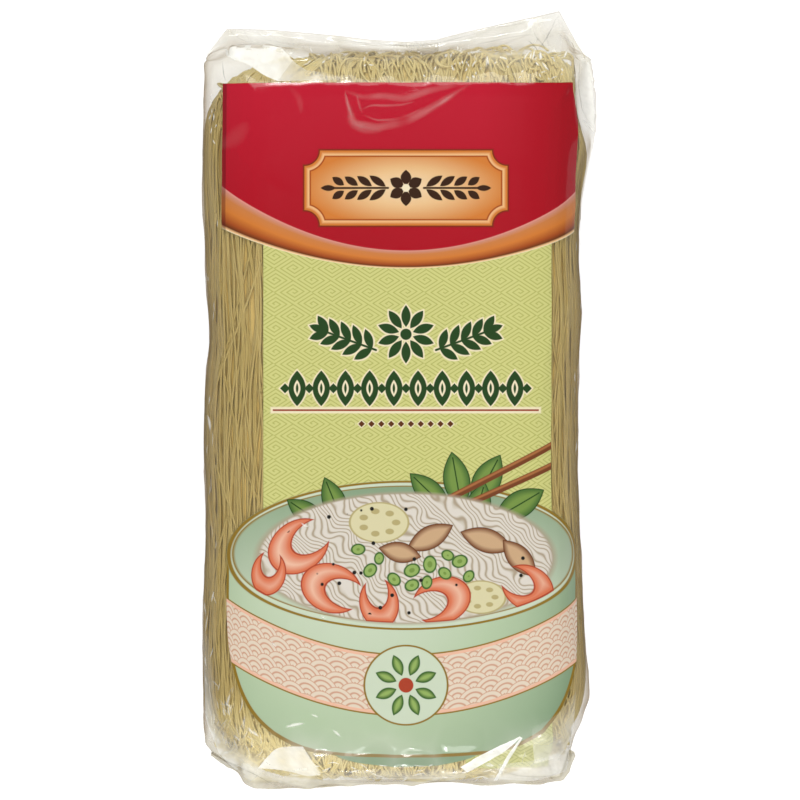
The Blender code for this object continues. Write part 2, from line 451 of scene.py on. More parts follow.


# Folds that show as milky facets, partly folded film and partly painted reflections of the lamps: two edges from one
# end to the other, in mm, and how milky each edge is at its start and at its end.
filmFacets = [
    # fold over the top left corner, with a painted reflection on it
    ([(-59, 118), (-53, 119.4), (-46, 119.2), (-39.5, 118.2), (-36, 114)],
     [(-58.5, 116), (-55, 114.2), (-50.8, 112.6), (-46, 109), (-41, 106.8)], (0.60, 0.66), (0.80, 0.82)),
    ([(-36, 114), (-34, 112), (-31, 110.5)], [(-41, 106.8), (-37, 106.9), (-31, 107)], (0.50, 0.20), (0.66, 0.45)),
    ([(-31, 110.5), (-27, 110), (-20, 108.6)], [(-31, 107), (-26, 107), (-20, 107.2)], (0.20, 0.0), (0.45, 0.10)),
    # the empty film above it
    ([(-58, 125), (-54, 121.5), (-50, 119.8)], [(-52, 124.8), (-46, 121.0), (-40.5, 118.6)], (0.0, 0.1), (0.3, 0.5)),
    ([(-52, 124.8), (-46, 121.0), (-40.5, 118.6)], [(-38, 123.6), (-34, 120.6), (-30, 118)], (0.3, 0.5), (0.0, 0.05)),
    # loose corner at the right
    ([(60.6, 115), (60.2, 106), (61.4, 98), (64.0, 93)], [(63.6, 114), (66.2, 106), (66.6, 98), (65.6, 91.5)],
     (0.30, 0.35), (0.55, 0.60)),
    # tall ear
    ([(53.5, 130.5), (50, 124), (47.5, 119)], [(53.5, 130.5), (54.6, 123), (54, 116)], (0.05, 0.10), (0.22, 0.20)),
    # bottom left corner
    ([(-47.6, -123.4), (-44, -119), (-41.2, -116.3), (-36.5, -116.0), (-32.5, -116.0)],
     [(-47.6, -123.4), (-41, -123.8), (-36, -124.6), (-31, -126.2), (-26.8, -125.6)], (0.66, 0.60), (0.62, 0.46)),
    ([(-32.5, -116.0), (-30, -120)], [(-26.8, -125.6), (-26.6, -124.8)], (0.46, 0.42), (0.36, 0.30)),
    # bottom right, a broad painted reflection that narrows upwards
    ([(20.2, -123.0), (26, -119.6), (33, -116.0), (40.2, -112.6)],
     [(22.6, -124.8), (29, -121.4), (35, -117.8), (40.4, -113.0)], (0.97, 0.96), (0.92, 0.92)),
    ([(40.4, -112.9), (36, -119), (31.4, -127.4)], [(41.0, -113.2), (37, -119.6), (32.6, -127.4)],
     (0.92, 0.92), (0.9, 0.9)),
    # hazy film along the bottom end, partly painted sheen
    ([(-26, -124.0), (0, -123.6), (22, -123.6)], [(-26, -127.4), (0, -127), (22, -126.6)], (0.05, 0.05), (0.36, 0.36)),
    ([(33, -122), (45, -121), (57, -117)], [(33, -127), (45, -128), (56, -125)], (0.2, 0.3), (0.5, 0.6)),
    ([(-65.6, -78), (-65.8, -92), (-65.2, -108), (-61, -119)], [(-63.6, -80), (-62.2, -94), (-60.6, -108), (-54, -118)],
     (0.15, 0.70), (0.0, 0.12)),
    ([(-61, -119), (-56, -124), (-50, -128)], [(-54, -118), (-50, -121), (-45, -124)], (0.70, 0.5), (0.12, 0.10)),
    # the wrinkled film past the noodles, bottom right
    ([(44, -110), (52, -106), (59, -98)], [(45, -122), (54, -120), (58, -112)], (0.05, 0.10), (0.45, 0.45)),
]

# Soft strips of painted highlight in milky white on the film: points in mm, half width, how milky in the middle
filmStrips = [
    # painted sheen along the pocket wrinkle in the header
    ([(-18.5, 103.6), (-12.7, 101.4), (-5.9, 101.9), (1.7, 100.9), (9.4, 103.6), (17, 105.2), (23.6, 106.4)], 1.5, 0.075),
    ([(-18.5, 103), (-17.2, 98), (-15.4, 92.8), (-7.4, 91.2), (1.7, 93.2), (8, 96.4), (16.4, 101.4), (24.5, 106.6)],
     1.7, 0.085),
    ([(-17.6, 96), (-16.4, 92.6), (-12, 90.4), (-6, 90.0)], 1.6, 0.045),
    ([(-14.4, 102.4), (-13.6, 98.4), (-12.6, 96)], 0.6, 0.06),
    ([(-12.6, 97.4), (-9.6, 98.8), (-5, 98.6), (1, 98.9), (5, 100)], 0.6, 0.07),
    ([(-12, 95.4), (-8, 93.6), (-2, 93.9), (3, 95.4), (7.6, 98)], 0.6, 0.07),
    ([(-18.4, 103.4), (-17.4, 98.6), (-16, 94.4)], 0.5, 0.11),
    ([(8, 96.2), (14, 99.6), (19, 103.2), (24.2, 106.4)], 0.6, 0.08),
    ([(-60, 85), (-55, 88), (-51, 93)], 3.4, 0.022),
    ([(-37, 105), (-33.6, 101), (-33, 96)], 1.4, 0.032),
    # short painted glints
    ([(-38.4, -109.6), (-35, -108.6), (-32, -108.3)], 0.7, 0.75),
    ([(-22.6, -110.4), (-21, -111.6), (-19.8, -112.8)], 0.6, 0.65),
    ([(-29.8, -105.2), (-27.2, -106.2)], 0.5, 0.6),
    ([(-33.2, -41), (-31.6, -42.4), (-30.2, -42.2)], 0.5, 0.55),
    ([(-43, -81), (-41.4, -82.6)], 0.5, 0.5),
    ([(-26.4, -72.4), (-25, -73)], 0.5, 0.45),
    ([(-64.6, -5.0), (-63.8, -7.2), (-63.6, -10.4)], 0.6, 0.75),
    ([(61.6, 94.6), (64.2, 92.2), (66.4, 89.8)], 0.5, 0.9),
]

# Scattered painted glints, milky strips where the film clings to the strands: x from and to, y from and to in mm, how
# many, their turn in degrees and how far it varies, the longest in mm, the widest half width and how milky
glintPatches = [
    (-44, 8, 112, 118.4, 22, 20, 40, 2.6, 0.42, 0.9),
    (8, 56, 107.5, 118.6, 40, 65, 45, 2.6, 0.42, 0.9),
    (14, 56, 111, 119, 11, 50, 40, 5.6, 0.66, 0.95),
    (-64, -61, 86, 102, 8, 75, 20, 3.0, 0.40, 0.8),
    (-62, -44, -121, -94, 64, 104, 28, 6.5, 0.26, 0.50),
    (-60, -46, -120, -100, 14, 112, 25, 6.0, 0.60, 0.50),
    (-38, 34, -127.5, -122, 34, 4, 18, 6.0, 0.34, 0.8),
    (40, 59, -122, -86, 36, 70, 24, 7.0, 0.28, 0.5),
    (-65.6, -62, -112, -66, 16, 92, 8, 8.0, 0.34, 0.7),
    (58.6, 61.2, -90, 70, 14, 92, 5, 7.0, 0.30, 0.6),
    (-65.2, -61, -60, 60, 12, 90, 5, 7.0, 0.30, 0.6),
]

# Thin lines of painted shade where the film is creased: points in mm, half width, how dark
filmLines = [
    ([(-64.4, 117.2), (-59, 118.4), (-53, 119.8), (-46, 119.8), (-40, 118.4)], 0.16, 0.20),
    ([(-58.4, 125.2), (-54, 121.8), (-49.8, 119.9)], 0.14, 0.16),
    ([(-59.6, 114), (-59.4, 110), (-58.4, 107)], 0.14, 0.30),
    ([(-22, 121.8), (-10, 120.5), (2, 119.8), (12, 120.4), (20, 122.6), (27, 124.4)], 0.14, 0.26),
    ([(27, 125.6), (36, 126.4), (44, 128)], 0.12, 0.14),
    ([(20, 118.6), (30, 120.8), (38, 122.6), (47, 123.4)], 0.12, 0.14),
    ([(53, 129.5), (50.4, 124), (47.4, 118.4)], 0.16, 0.20),
    ([(52, 127), (49, 121), (46, 117)], 0.12, 0.14),
    ([(54.4, 129), (57.4, 119.6), (60.6, 114.6)], 0.12, 0.14),
    ([(43, 121.4), (45.4, 119), (47, 116.2)], 0.16, 0.34),
    ([(45.4, 123), (48.2, 119.6), (49, 117.6)], 0.16, 0.30),
    ([(60.4, 115), (60.0, 106), (61.2, 98), (64.0, 93)], 0.16, 0.26),
    ([(63, 113.6), (65.4, 106), (66, 97)], 0.12, 0.12),
    ([(-66, -117), (-60, -121), (-53, -126)], 0.16, 0.24),
    ([(-61, -120.6), (-50, -124.8), (-40.5, -130)], 0.16, 0.28),
    ([(-24, -128.4), (-5, -128), (14, -127.6), (28, -127.4)], 0.16, 0.24),
    ([(-22, -126.6), (0, -126.4), (18, -126)], 0.12, 0.20),
    ([(30, -123.4), (40, -126), (50, -126.6), (57, -124)], 0.14, 0.20),
    ([(46, -117), (50, -119), (54, -117), (57, -112)], 0.14, 0.16),
    ([(58, -108), (56.8, -116), (55.6, -125)], 0.14, 0.18),
]


# The lap seam on the back, from one end to the other, with painted shade lines along its edges
backFacets = [
    ([(2.0, -126), (2.0, 0), (2.0, 121)], [(13.0, -126), (13.0, 0), (13.0, 121)], (0.20, 0.20), (0.34, 0.34)),
]
backLines = [
    ([(2.0, -126), (2.2, -60), (2.0, 0), (1.8, 60), (2.0, 121)], 0.16, 0.30),
    ([(13.0, -126), (12.8, -60), (13.0, 0), (13.2, 60), (13.0, 121)], 0.20, 0.45),
]


def scatteredGlints(seed):
    rng = np.random.default_rng(seed)
    glints = []
    bowl = printValues
    for lowX, highX, lowY, highY, count, turn, vary, longest, widest, milky in glintPatches:
        for _ in range(count):
            angle = math.radians(turn + rng.normal(0, vary))
            reach = rng.uniform(0.25, 0.5) * longest * rng.uniform(0.5, 1.0)
            x, y = rng.uniform(lowX, highX), rng.uniform(lowY, highY)
            dx, dy = reach * math.cos(angle), reach * math.sin(angle)
            bend = rng.normal(0, 0.18)
            line = [(x - dx, y - dy), (x - dy * bend, y + dx * bend), (x + dx, y + dy)]
            glint = (line, widest * rng.uniform(0.6, 1.0), milky * rng.uniform(0.55, 1.0))
            across = abs(x - bowl["middle"]) / bowl["rimReach"]
            down = max(0.0, bowl["rimY"] - y) / bowl["bowlDepth"]
            power = bowl["bowlSquareness"]
            if y > bowl["rimY"] or across ** power + down ** power > 1.08:     # off the printed bowl
                glints.append(glint)
    return glints


def smoothLine(points, step=0.8 * mm):
    # evenly spaced places along a soft curve through the points, in metres
    corners = np.array(points, float) * mm
    lengths = np.concatenate(([0.0], np.cumsum(np.linalg.norm(np.diff(corners, axis=0), axis=1))))
    count = max(6, int(lengths[-1] / step) + 1)
    places = np.linspace(0.0, lengths[-1], count)
    line = np.column_stack([np.interp(places, lengths, corners[:, 0]), np.interp(places, lengths, corners[:, 1])])
    for _ in range(3):
        line[1:-1] = line[1:-1] * 0.5 + (line[:-2] + line[2:]) * 0.25
    return line


def layOnFilm(sheet, x, y, lift, fromBelow):
    side = -1.0 if fromBelow else 1.0
    place, normal, _, _ = filmTree.ray_cast(Vector((x, y, side * 0.1)), Vector((0.0, 0.0, -side)))
    if place is None:
        return None
    return sheet.verts.new(place + normal * lift)


def foldsPiece(name, lift, facets, strips, lines, fromBelow=False):
    # strips and facets of folded film that lie on the pack: milky film, painted highlights and glints, and painted
    # crease shade lines
    sheet = bmesh.new()
    milkSheenLayer = sheet.verts.layers.float.new("milkAndSheen")
    creaseShadeLayer = sheet.verts.layers.float.new("dark")

    def addPatch(rows, milkAndSheen, dark):
        # rows of (x, y) places, with how milky (partly painted highlight) and how dark (painted crease shade) each one
        # is
        spots = []
        for row, milkSheenRow, creaseShadeRow in zip(rows, milkAndSheen, dark):
            line = []
            for (x, y), milkSheenValue, creaseShadeValue in zip(row, milkSheenRow, creaseShadeRow):
                vertex = layOnFilm(sheet, x, y, lift, fromBelow)
                if vertex is not None:
                    vertex[milkSheenLayer], vertex[creaseShadeLayer] = milkSheenValue, creaseShadeValue
                line.append(vertex)
            spots.append(line)
        for below, above in zip(spots, spots[1:]):
            for a, b, c, d in zip(below, below[1:], above[1:], above):
                if None not in (a, b, c, d) and max(v.co.z for v in (a, b, c, d)) - min(
                        v.co.z for v in (a, b, c, d)) < 4 * mm:
                    sheet.faces.new((a, b, c, d))

    for first, second, firstMilkSheen, secondMilkSheen in facets:
        one, two = smoothLine(first, 1.0 * mm), smoothLine(second, 1.0 * mm)
        count = max(len(one), len(two))
        shares = np.linspace(0, 1, count)
        one = np.column_stack([np.interp(shares, np.linspace(0, 1, len(one)), one[:, i]) for i in (0, 1)])
        two = np.column_stack([np.interp(shares, np.linspace(0, 1, len(two)), two[:, i]) for i in (0, 1)])
        steps = np.linspace(0, 1, 7)
        rows = [one * (1 - t) + two * t for t in steps]
        grain = noiseField(np.array([np.column_stack([row, np.zeros(count)]) for row in rows]), 5 * mm, 9, 3)
        near = firstMilkSheen[0] + (firstMilkSheen[1] - firstMilkSheen[0]) * shares
        far = secondMilkSheen[0] + (secondMilkSheen[1] - secondMilkSheen[0]) * shares
        milkAndSheen = [(near * (1 - t) + far * t) * (1 + 0.45 * grain[i]) for i, t in enumerate(steps)]
        addPatch(rows, milkAndSheen, np.zeros((7, count)))
    for index, (points, halfWidth, strength) in enumerate(strips + lines):
        isLine = index >= len(strips)
        line = smoothLine(points)
        along = np.gradient(line, axis=0)
        along /= np.linalg.norm(along, axis=1, keepdims=True)
        side = np.column_stack([-along[:, 1], along[:, 0]])
        place = np.linspace(0, 1, len(line))
        width = halfWidth * mm * (0.25 + 0.75 * np.sin(math.pi * place) ** 0.6)
        across = np.linspace(-1, 1, 2 if isLine else 3 if halfWidth < 0.22 else 7)
        rows = [line + side * (width * t)[:, None] for t in across]
        fade = np.sin(math.pi * np.clip(place, 0.02, 0.98)) ** 0.5
        if len(line) > 12 and not isLine:
            uneven = noiseField(np.column_stack([line, np.zeros(len(line))]), 8 * mm, 5, 2)
            fade = fade * np.clip(1.0 + 0.9 * uneven, 0.3, 1.5)
        profile = [fade * strength * (1.0 if isLine else (1 - t * t) ** 1.3) for t in across]
        nothing = np.zeros((len(across), len(line)))
        addPatch(rows, nothing if isLine else profile, profile if isLine else nothing)
    loose = [vertex for vertex in sheet.verts if not vertex.link_faces]
    bmesh.ops.delete(sheet, geom=loose, context="VERTS")
    for face in sheet.faces:
        face.normal_update()
    wrong = [face for face in sheet.faces if (face.normal.z > 0) == fromBelow]
    bmesh.ops.reverse_faces(sheet, faces=wrong)
    mesh = bpy.data.meshes.new(name)
    sheet.to_mesh(mesh)
    sheet.free()
    return linkPiece(name, mesh)


# ---------- noodles ----------

noodleValues = {
    "thickness": 0.86 * mm,
    "filmGap": 0.25 * mm,
    "layerStep": 0.75 * mm,
    "endRound": 11 * mm,
    "step": 4.0 * mm,
}


def heightTables():
    # heights of the front and the back on a grid, for the strands that turn over the ends
    xs = np.linspace(-64 * mm, 60 * mm, 63)
    ys = np.linspace(shapeValues["firstY"], shapeValues["lastY"], 60)
    front = np.zeros((len(ys), len(xs)))
    back = np.zeros((len(ys), len(xs)))
    for i, y in enumerate(ys):
        ring = ringPlace(np.linspace(0, 1, 400), np.full(400, y))
        x, z = ring[0], ring[2]
        upper = z > np.interp(y, ys, np.full(len(ys), 17 * mm))
        order = np.argsort(x[upper])
        front[i] = np.interp(xs, x[upper][order], z[upper][order])
        order = np.argsort(x[~upper])
        back[i] = np.interp(xs, x[~upper][order], z[~upper][order])
    return xs, ys, front, back


tableX, tableY, frontTable, backTable = heightTables()


def tableRead(table, x, y):
    col = np.interp(x, tableX, np.arange(len(tableX)))
    row = np.interp(y, tableY, np.arange(len(tableY)))
    c0 = np.minimum(col.astype(int), len(tableX) - 2)
    r0 = np.minimum(row.astype(int), len(tableY) - 2)
    cf, rf = col - c0, row - r0
    low = table[r0, c0] * (1 - cf) + table[r0, c0 + 1] * cf
    high = table[r0 + 1, c0] * (1 - cf) + table[r0 + 1, c0 + 1] * cf
    return low * (1 - rf) + high * rf


noodleOutline = {
    # end of the bundle, corner radius on the left and on the right, in mm
    "top": (119.4, 30.0, 8.0),
    "bottom": (-130.0, 23.0, 30.0),
    "leftSide": 66.4,
    "rightSide": 62.0,
    "squareness": 2.6,
}


def cornerValues(x, top):
    v = noodleOutline
    end, left, right = v["top"] if top else v["bottom"]
    isLeft = np.asarray(x) < 0
    return end, np.where(isLeft, left, right), np.where(isLeft, v["leftSide"], v["rightSide"])


def noodleEnd(x, top):
    # how far the folded bundle reaches at this x; its corners are rounded off
    power = noodleOutline["squareness"]
    end, radius, side = cornerValues(x, top)
    share = np.clip(np.abs(np.asarray(x)) / mm / side, 0.0, 1.0)
    drop = radius * (1.0 - (1.0 - share ** power) ** (1 / power))
    return (end - drop if top else end + drop) * mm


def noodleTop(x):
    return noodleEnd(x, True)


def noodleBottom(x):
    return noodleEnd(x, False)


def cornerPull(x, y):
    # near the ends the strands close in, along the bundle's rounded corners
    power = noodleOutline["squareness"]
    factor = np.ones(np.shape(x))
    for top in (True, False):
        end, radius, _ = cornerValues(x, top)
        reach = (end - y / mm) if top else (y / mm - end)
        t = np.clip(1.0 - reach / radius, 0.0, 0.97)
        factor = factor * (1.0 - t ** power) ** (1 / power)
    return factor


def keepInside(strands, gap):
    # no strand comes through the film
    for points in strands:
        for _ in range(2):
            for row in range(len(points)):
                near, normal, _, _ = filmTree.find_nearest(Vector(points[row]))
                if (Vector(points[row]) - near).dot(normal) > -gap:
                    points[row] = near - normal * gap
            points[1:-1] = points[1:-1] * 0.6 + (points[:-2] + points[2:]) * 0.2
    return strands


def wander(count, rng, *waves):
    # a smooth random line: waves are (length in points, height)
    t = np.arange(count)
    total = np.zeros(count)
    for length, height in waves:
        total += height * np.sin(2 * math.pi * (t / (length * rng.uniform(0.75, 1.35)) + rng.uniform()))
    return total


def endLoop(x0, depth, top, frontReach, backReach, rng, curl):
    # a strand that comes up the front, turns over one end and goes down the back
    sign = 1.0 if top else -1.0
    v = noodleValues
    end = float(noodleTop(x0) if top else noodleBottom(x0)) - sign * (depth + rng.uniform(0, 2.2) * mm)
    turnStart = end - sign * v["endRound"]
    front = np.arange(frontReach, sign * turnStart, 2.6 * mm) * sign
    angles = np.linspace(0, math.pi, 15)
    back = np.arange(sign * turnStart, backReach, -3.4 * mm) * sign
    y = np.concatenate([front, turnStart + sign * v["endRound"] * np.sin(angles) ** 0.8, back[1:]])
    count = len(y)
    nearEnd = smooth(sign * y, sign * turnStart - 14 * mm, sign * turnStart + 6 * mm)
    x = x0 + wander(count, rng, (26, 1.3 * mm), (11, 0.5 * mm))
    x += wander(count, rng, (19, curl * mm), (10, 0.4 * curl * mm)) * nearEnd
    x = np.clip(x, -62.5 * mm, 58.8 * mm)
    sink = depth + wander(count, rng, (19, 0.35 * mm), (8, 0.2 * mm))
    zFront = tableRead(frontTable, x, y) - sink
    zBack = tableRead(backTable, x, y) + sink
    share = np.concatenate([np.ones(len(front)), (1 + np.cos(angles)) / 2, np.zeros(len(back) - 1)])
    z = zBack + (zFront - zBack) * share
    tuckIn = np.minimum(np.arange(count), np.arange(count)[::-1])
    z += np.where(share > 0.5, -1.0, 1.0) * 1.6 * mm * np.clip(1 - tuckIn / 4.0, 0, 1)
    return np.column_stack([x, y, z])


def endShrink(y, x):
    # 1 along the bundle, falling to 0 at its rounded ends
    reach = np.where(y > 0, noodleTop(x) - y, y - noodleBottom(x))
    t = np.clip(1.0 - reach / (13 * mm), 0.0, 0.98)
    return (1.0 - t ** 2.6) ** (1 / 2.6)


def sideStrand(turn, depth, rng, drift):
    # a strand that runs the pack's length at one place around its section
    y = np.arange(-126 * mm, 116 * mm, noodleValues["step"])
    y = y + rng.uniform(-1.5, 1.5) * mm
    count = len(y)
    swing = wander(count, rng, (31, 0.0042), (14, 0.0018), (60, 0.006))
    turns = turn + swing + drift * np.linspace(-0.5, 0.5, count)
    sink = depth + wander(count, rng, (22, 0.4 * mm), (9, 0.25 * mm))
    x, y, z = ringPlace(turns, y, np.maximum(sink, 0.55 * mm))
    x = x * cornerPull(x, y)
    keep = (y < noodleTop(x) - 0.6 * mm) & (y > noodleBottom(x) + 0.6 * mm)
    x, y, z = x[keep], y[keep], z[keep]
    shrink = endShrink(y, x)
    z = shapeValues["centreZ"] + (z - shapeValues["centreZ"]) * shrink
    return np.column_stack([x, y, z])


def strandPiece(name, strands, rng):
    # one curve with a spline for each strand, made a mesh, with a tone for each strand
    thickness = noodleValues["thickness"]
    curve = bpy.data.curves.new(name, "CURVE")
    curve.dimensions = "3D"
    curve.bevel_depth = thickness / 2
    curve.bevel_resolution = 1
    curve.use_fill_caps = True
    counts = []
    for points in strands:
        spline = curve.splines.new("POLY")
        spline.points.add(len(points) - 1)
        spline.points.foreach_set("co", np.column_stack([points, np.ones(len(points))]).ravel())
        widths = rng.uniform(0.88, 1.12) * (1.0 + wander(len(points), rng, (9, 0.05)))
        spline.points.foreach_set("radius", widths)
        counts.append(len(points))
    holder = bpy.data.objects.new(name + "Curve", curve)
    bpy.context.scene.collection.objects.link(holder)
    view = bpy.context.evaluated_depsgraph_get()
    mesh = bpy.data.meshes.new_from_object(holder.evaluated_get(view))
    bpy.data.objects.remove(holder)
    bpy.data.curves.remove(curve)
    tones = rng.uniform(0.0, 1.0, len(counts))
    sides = 6
    caps = np.repeat(tones[::-1], 2 * sides)
    tubes = np.repeat(tones, np.array(counts) * sides)
    tone = mesh.attributes.new("tone", "FLOAT", "POINT")
    tone.data.foreach_set("value", np.concatenate([caps, tubes]).astype(np.float32))
    solid = bmesh.new()
    solid.from_mesh(mesh)
    bmesh.ops.remove_doubles(solid, verts=solid.verts[:], dist=2e-6)
    solid.to_mesh(mesh)
    solid.free()
    mesh.name = name
    return linkPiece(name, mesh)


def spread(low, high, gap, rng):
    places = np.arange(low, high, gap)
    return places + rng.uniform(-0.35, 0.35, len(places)) * gap


def endLoops(top, seed):
    rng = np.random.default_rng(seed)
    strands = []
    for layer in range(3):
        depth = noodleValues["filmGap"] + (0.55 + layer) * noodleValues["layerStep"] + 0.3 * mm
        for x0 in spread(-59 * mm, 57 * mm, (1.0 + 0.2 * layer) * mm, rng):
            frontReach = (90 if top else 84) * mm + rng.uniform(0, 6) * mm
            backReach = 84 * mm + rng.uniform(0, 10) * mm
            strands.append(endLoop(x0, depth, top, frontReach, backReach, rng, 2.2 if layer else 2.8))
    return strands


def sideStrands(firstTurn, lastTurn, seed, layers=3):
    rng = np.random.default_rng(seed)
    perimeter = float(rings["length"].sum(axis=1).mean())
    strands = []
    for layer in range(layers):
        depth = noodleValues["filmGap"] + (0.55 + layer) * noodleValues["layerStep"]
        for turn in spread(firstTurn, lastTurn, (1.12 + 0.2 * layer) * mm / perimeter, rng):
            drift = rng.normal(0.0, 0.010) if rng.uniform() < 0.85 else rng.choice((-1, 1)) * rng.uniform(0.02, 0.05)
            strands.append(sideStrand(turn, depth, rng, drift))
    return [s for s in strands if len(s) > 12]


def strayStrands(seed):
    # single strands that lie across the others, just under the film
    rng = np.random.default_rng(seed)
    strands = []
    for firstTurn, lastTurn, count in ((0.150, 0.215, 14), (0.735, 0.845, 26)):
        for _ in range(count):
            turn = rng.uniform(firstTurn, lastTurn)
            strand = sideStrand(turn, 0.5 * mm, rng, rng.choice((-1, 1)) * rng.uniform(0.10, 0.30))
            first = rng.integers(0, max(1, len(strand) - 26))
            strands.append(strand[first:first + rng.integers(10, 24)])
    return strands


def strayCurls(seed):
    # single loops and hooks that stand out of the folded ends
    rng = np.random.default_rng(seed)
    strands = []
    for top, count in ((True, 34), (False, 6)):
        sign = 1.0 if top else -1.0
        for _ in range(count):
            x0 = rng.uniform(-54, 56) * mm
            if top and rng.uniform() < 0.6:
                x0 = rng.uniform(26, 57) * mm
            end = float(noodleTop(x0) if top else noodleBottom(x0))
            radius = rng.uniform(2.2, 7.5) * mm
            start, sweep = rng.uniform(-0.4, 0.9), rng.uniform(2.2, 4.6)
            turns = np.linspace(start, start + sweep, 22)
            centreY = end - sign * (radius * 0.75 + rng.uniform(-1.5, 5.0) * mm)
            tilt = rng.uniform(-0.5, 0.5)
            x = x0 + radius * np.cos(turns) * rng.uniform(0.6, 1.1)
            y = centreY + sign * radius * np.sin(turns)
            x = np.clip(x, -60 * mm, 58.5 * mm)
            y = np.minimum(y, noodleTop(x) + 2.4 * mm) if top else np.maximum(y, noodleBottom(x) + 2.0 * mm)
            top_z = tableRead(frontTable, x, np.clip(y, -117 * mm, 112 * mm))
            past = np.clip(sign * (y - end) / mm + 9.0, 0.0, 12.0)
            z = top_z - 0.85 * mm - 0.030 * mm * past ** 2.45 - np.abs(tilt) * radius * (1 + np.sin(turns)) * 0.5
            strands.append(np.column_stack([x, y, z]))
    return strands


# ---------- inner core ----------

coreValues = {"depth": 1.9 * mm, "endDepth": 4.2 * mm, "columns": 96, "rows": 90}


def corePiece():
    # the dense middle of the bundle, under the separate strands
    v = coreValues
    turns = np.linspace(0.0, 1.0, v["columns"] + 1) + 0.5
    ys = np.linspace(-126 * mm, 115 * mm, v["rows"])
    x, y, z = ringPlace(turns[None, :], ys[:, None], v["depth"])
    top, bottom = noodleTop(x * 0.97) - v["endDepth"], noodleBottom(x * 0.97) + v["endDepth"]
    share = (y - ys[0]) / (ys[-1] - ys[0])
    y = bottom + (top - bottom) * share
    reach = np.minimum(top - y, y - bottom)
    t = np.clip(1.0 - reach / (13 * mm), 0.0, 1.0)
    shrink = (1.0 - t ** 2.4) ** (1 / 2.4)
    z = shapeValues["centreZ"] + (z - shapeValues["centreZ"]) * shrink
    x = x * (0.94 + 0.06 * shrink)
    points = np.stack([x, y, z], axis=2)
    around = np.repeat(turns[None, :] - 1.0, v["rows"], axis=0) * 0.32
    return gridPiece("noodleCore", points, around, y)


# ---------- materials ----------

def rgb(red, green, blue, alpha=1.0):
    # a screen colour, 0 to 255, as the linear colour that the shaders take
    linear = [((c / 255 + 0.055) / 1.055) ** 2.4 if c > 10 else c / 255 / 12.92 for c in (red, green, blue)]
    return (*linear, alpha)


def newMaterial(name):
    material = bpy.data.materials.new(name)
    material.use_nodes = True
    nodes = material.node_tree.nodes
    nodes.clear()
    output = nodes.new("ShaderNodeOutputMaterial")
    return material, material.node_tree, output


def feed(nodeTree, socket, value):
    if isinstance(value, bpy.types.NodeSocket):
        nodeTree.links.new(value, socket)
    else:
        socket.default_value = value


def maths(nodeTree, operation, *values, clamp=False):
    node = nodeTree.nodes.new("ShaderNodeMath")
    node.operation = operation
    node.use_clamp = clamp
    for index, value in enumerate(values):
        feed(nodeTree, node.inputs[index], value)
    return node.outputs[0]


def mixColour(nodeTree, share, first, second):
    node = nodeTree.nodes.new("ShaderNodeMix")
    node.data_type = "RGBA"
    feed(nodeTree, node.inputs[0], share)
    feed(nodeTree, node.inputs[6], first)
    feed(nodeTree, node.inputs[7], second)
    return node.outputs[2]


def colourRamp(nodeTree, value, stops):
    node = nodeTree.nodes.new("ShaderNodeValToRGB")
    feed(nodeTree, node.inputs[0], value)
    elements = node.color_ramp.elements
    for _ in range(len(stops) - 2):
        elements.new(0.5)
    for element, (place, colour) in zip(elements, stops):
        element.position = place
        element.color = colour
    return node.outputs[0]


def noiseNode(nodeTree, place, scale, detail=2.0):
    node = nodeTree.nodes.new("ShaderNodeTexNoise")
    feed(nodeTree, node.inputs["Vector"], place)
    node.inputs["Scale"].default_value = scale
    node.inputs["Detail"].default_value = detail
    return node.outputs["Fac"]


def lampShare(tree, share, look):
    # film scatters light forwards, so rays from the lamps meet much less of its milkiness; so its painted sheen and
    # glints cast little shadow
    rays = tree.nodes.new("ShaderNodeLightPath")
    kept = maths(tree, "MULTIPLY_ADD", rays.outputs["Is Shadow Ray"], -look["letThrough"], 1.0)
    return maths(tree, "MULTIPLY", share, kept, clamp=True)


filmLook = {
    "seeThrough": (0.978, 0.975, 0.962, 1),
    "emptyTint": (0.888, 0.880, 0.862, 1),   # film that lies in several layers
    "edgeShadeTint": (0.42, 0.34, 0.24, 1),       # film seen edge-on over the noodles, tinted darker and browner: partly its own greying at grazing angles, partly painted shade along the pack's sides
    "mostGloss": 0.065,
    "hazeAndSheen": 0.010,
    "letThrough": 0.85,
    "gloss": 1.3,
    "roughness": 0.085,
    "bumpScale": 190.0,
    "bumpHeight": 0.10 * mm,
}


def filmBump(tree):
    coords = tree.nodes.new("ShaderNodeTexCoord")
    bump = tree.nodes.new("ShaderNodeBump")
    bump.inputs["Strength"].default_value = 1.0
    bump.inputs["Distance"].default_value = filmLook["bumpHeight"]
    tree.links.new(noiseNode(tree, coords.outputs["Object"], filmLook["bumpScale"], 3.0), bump.inputs["Height"])
    return bump.outputs[0]


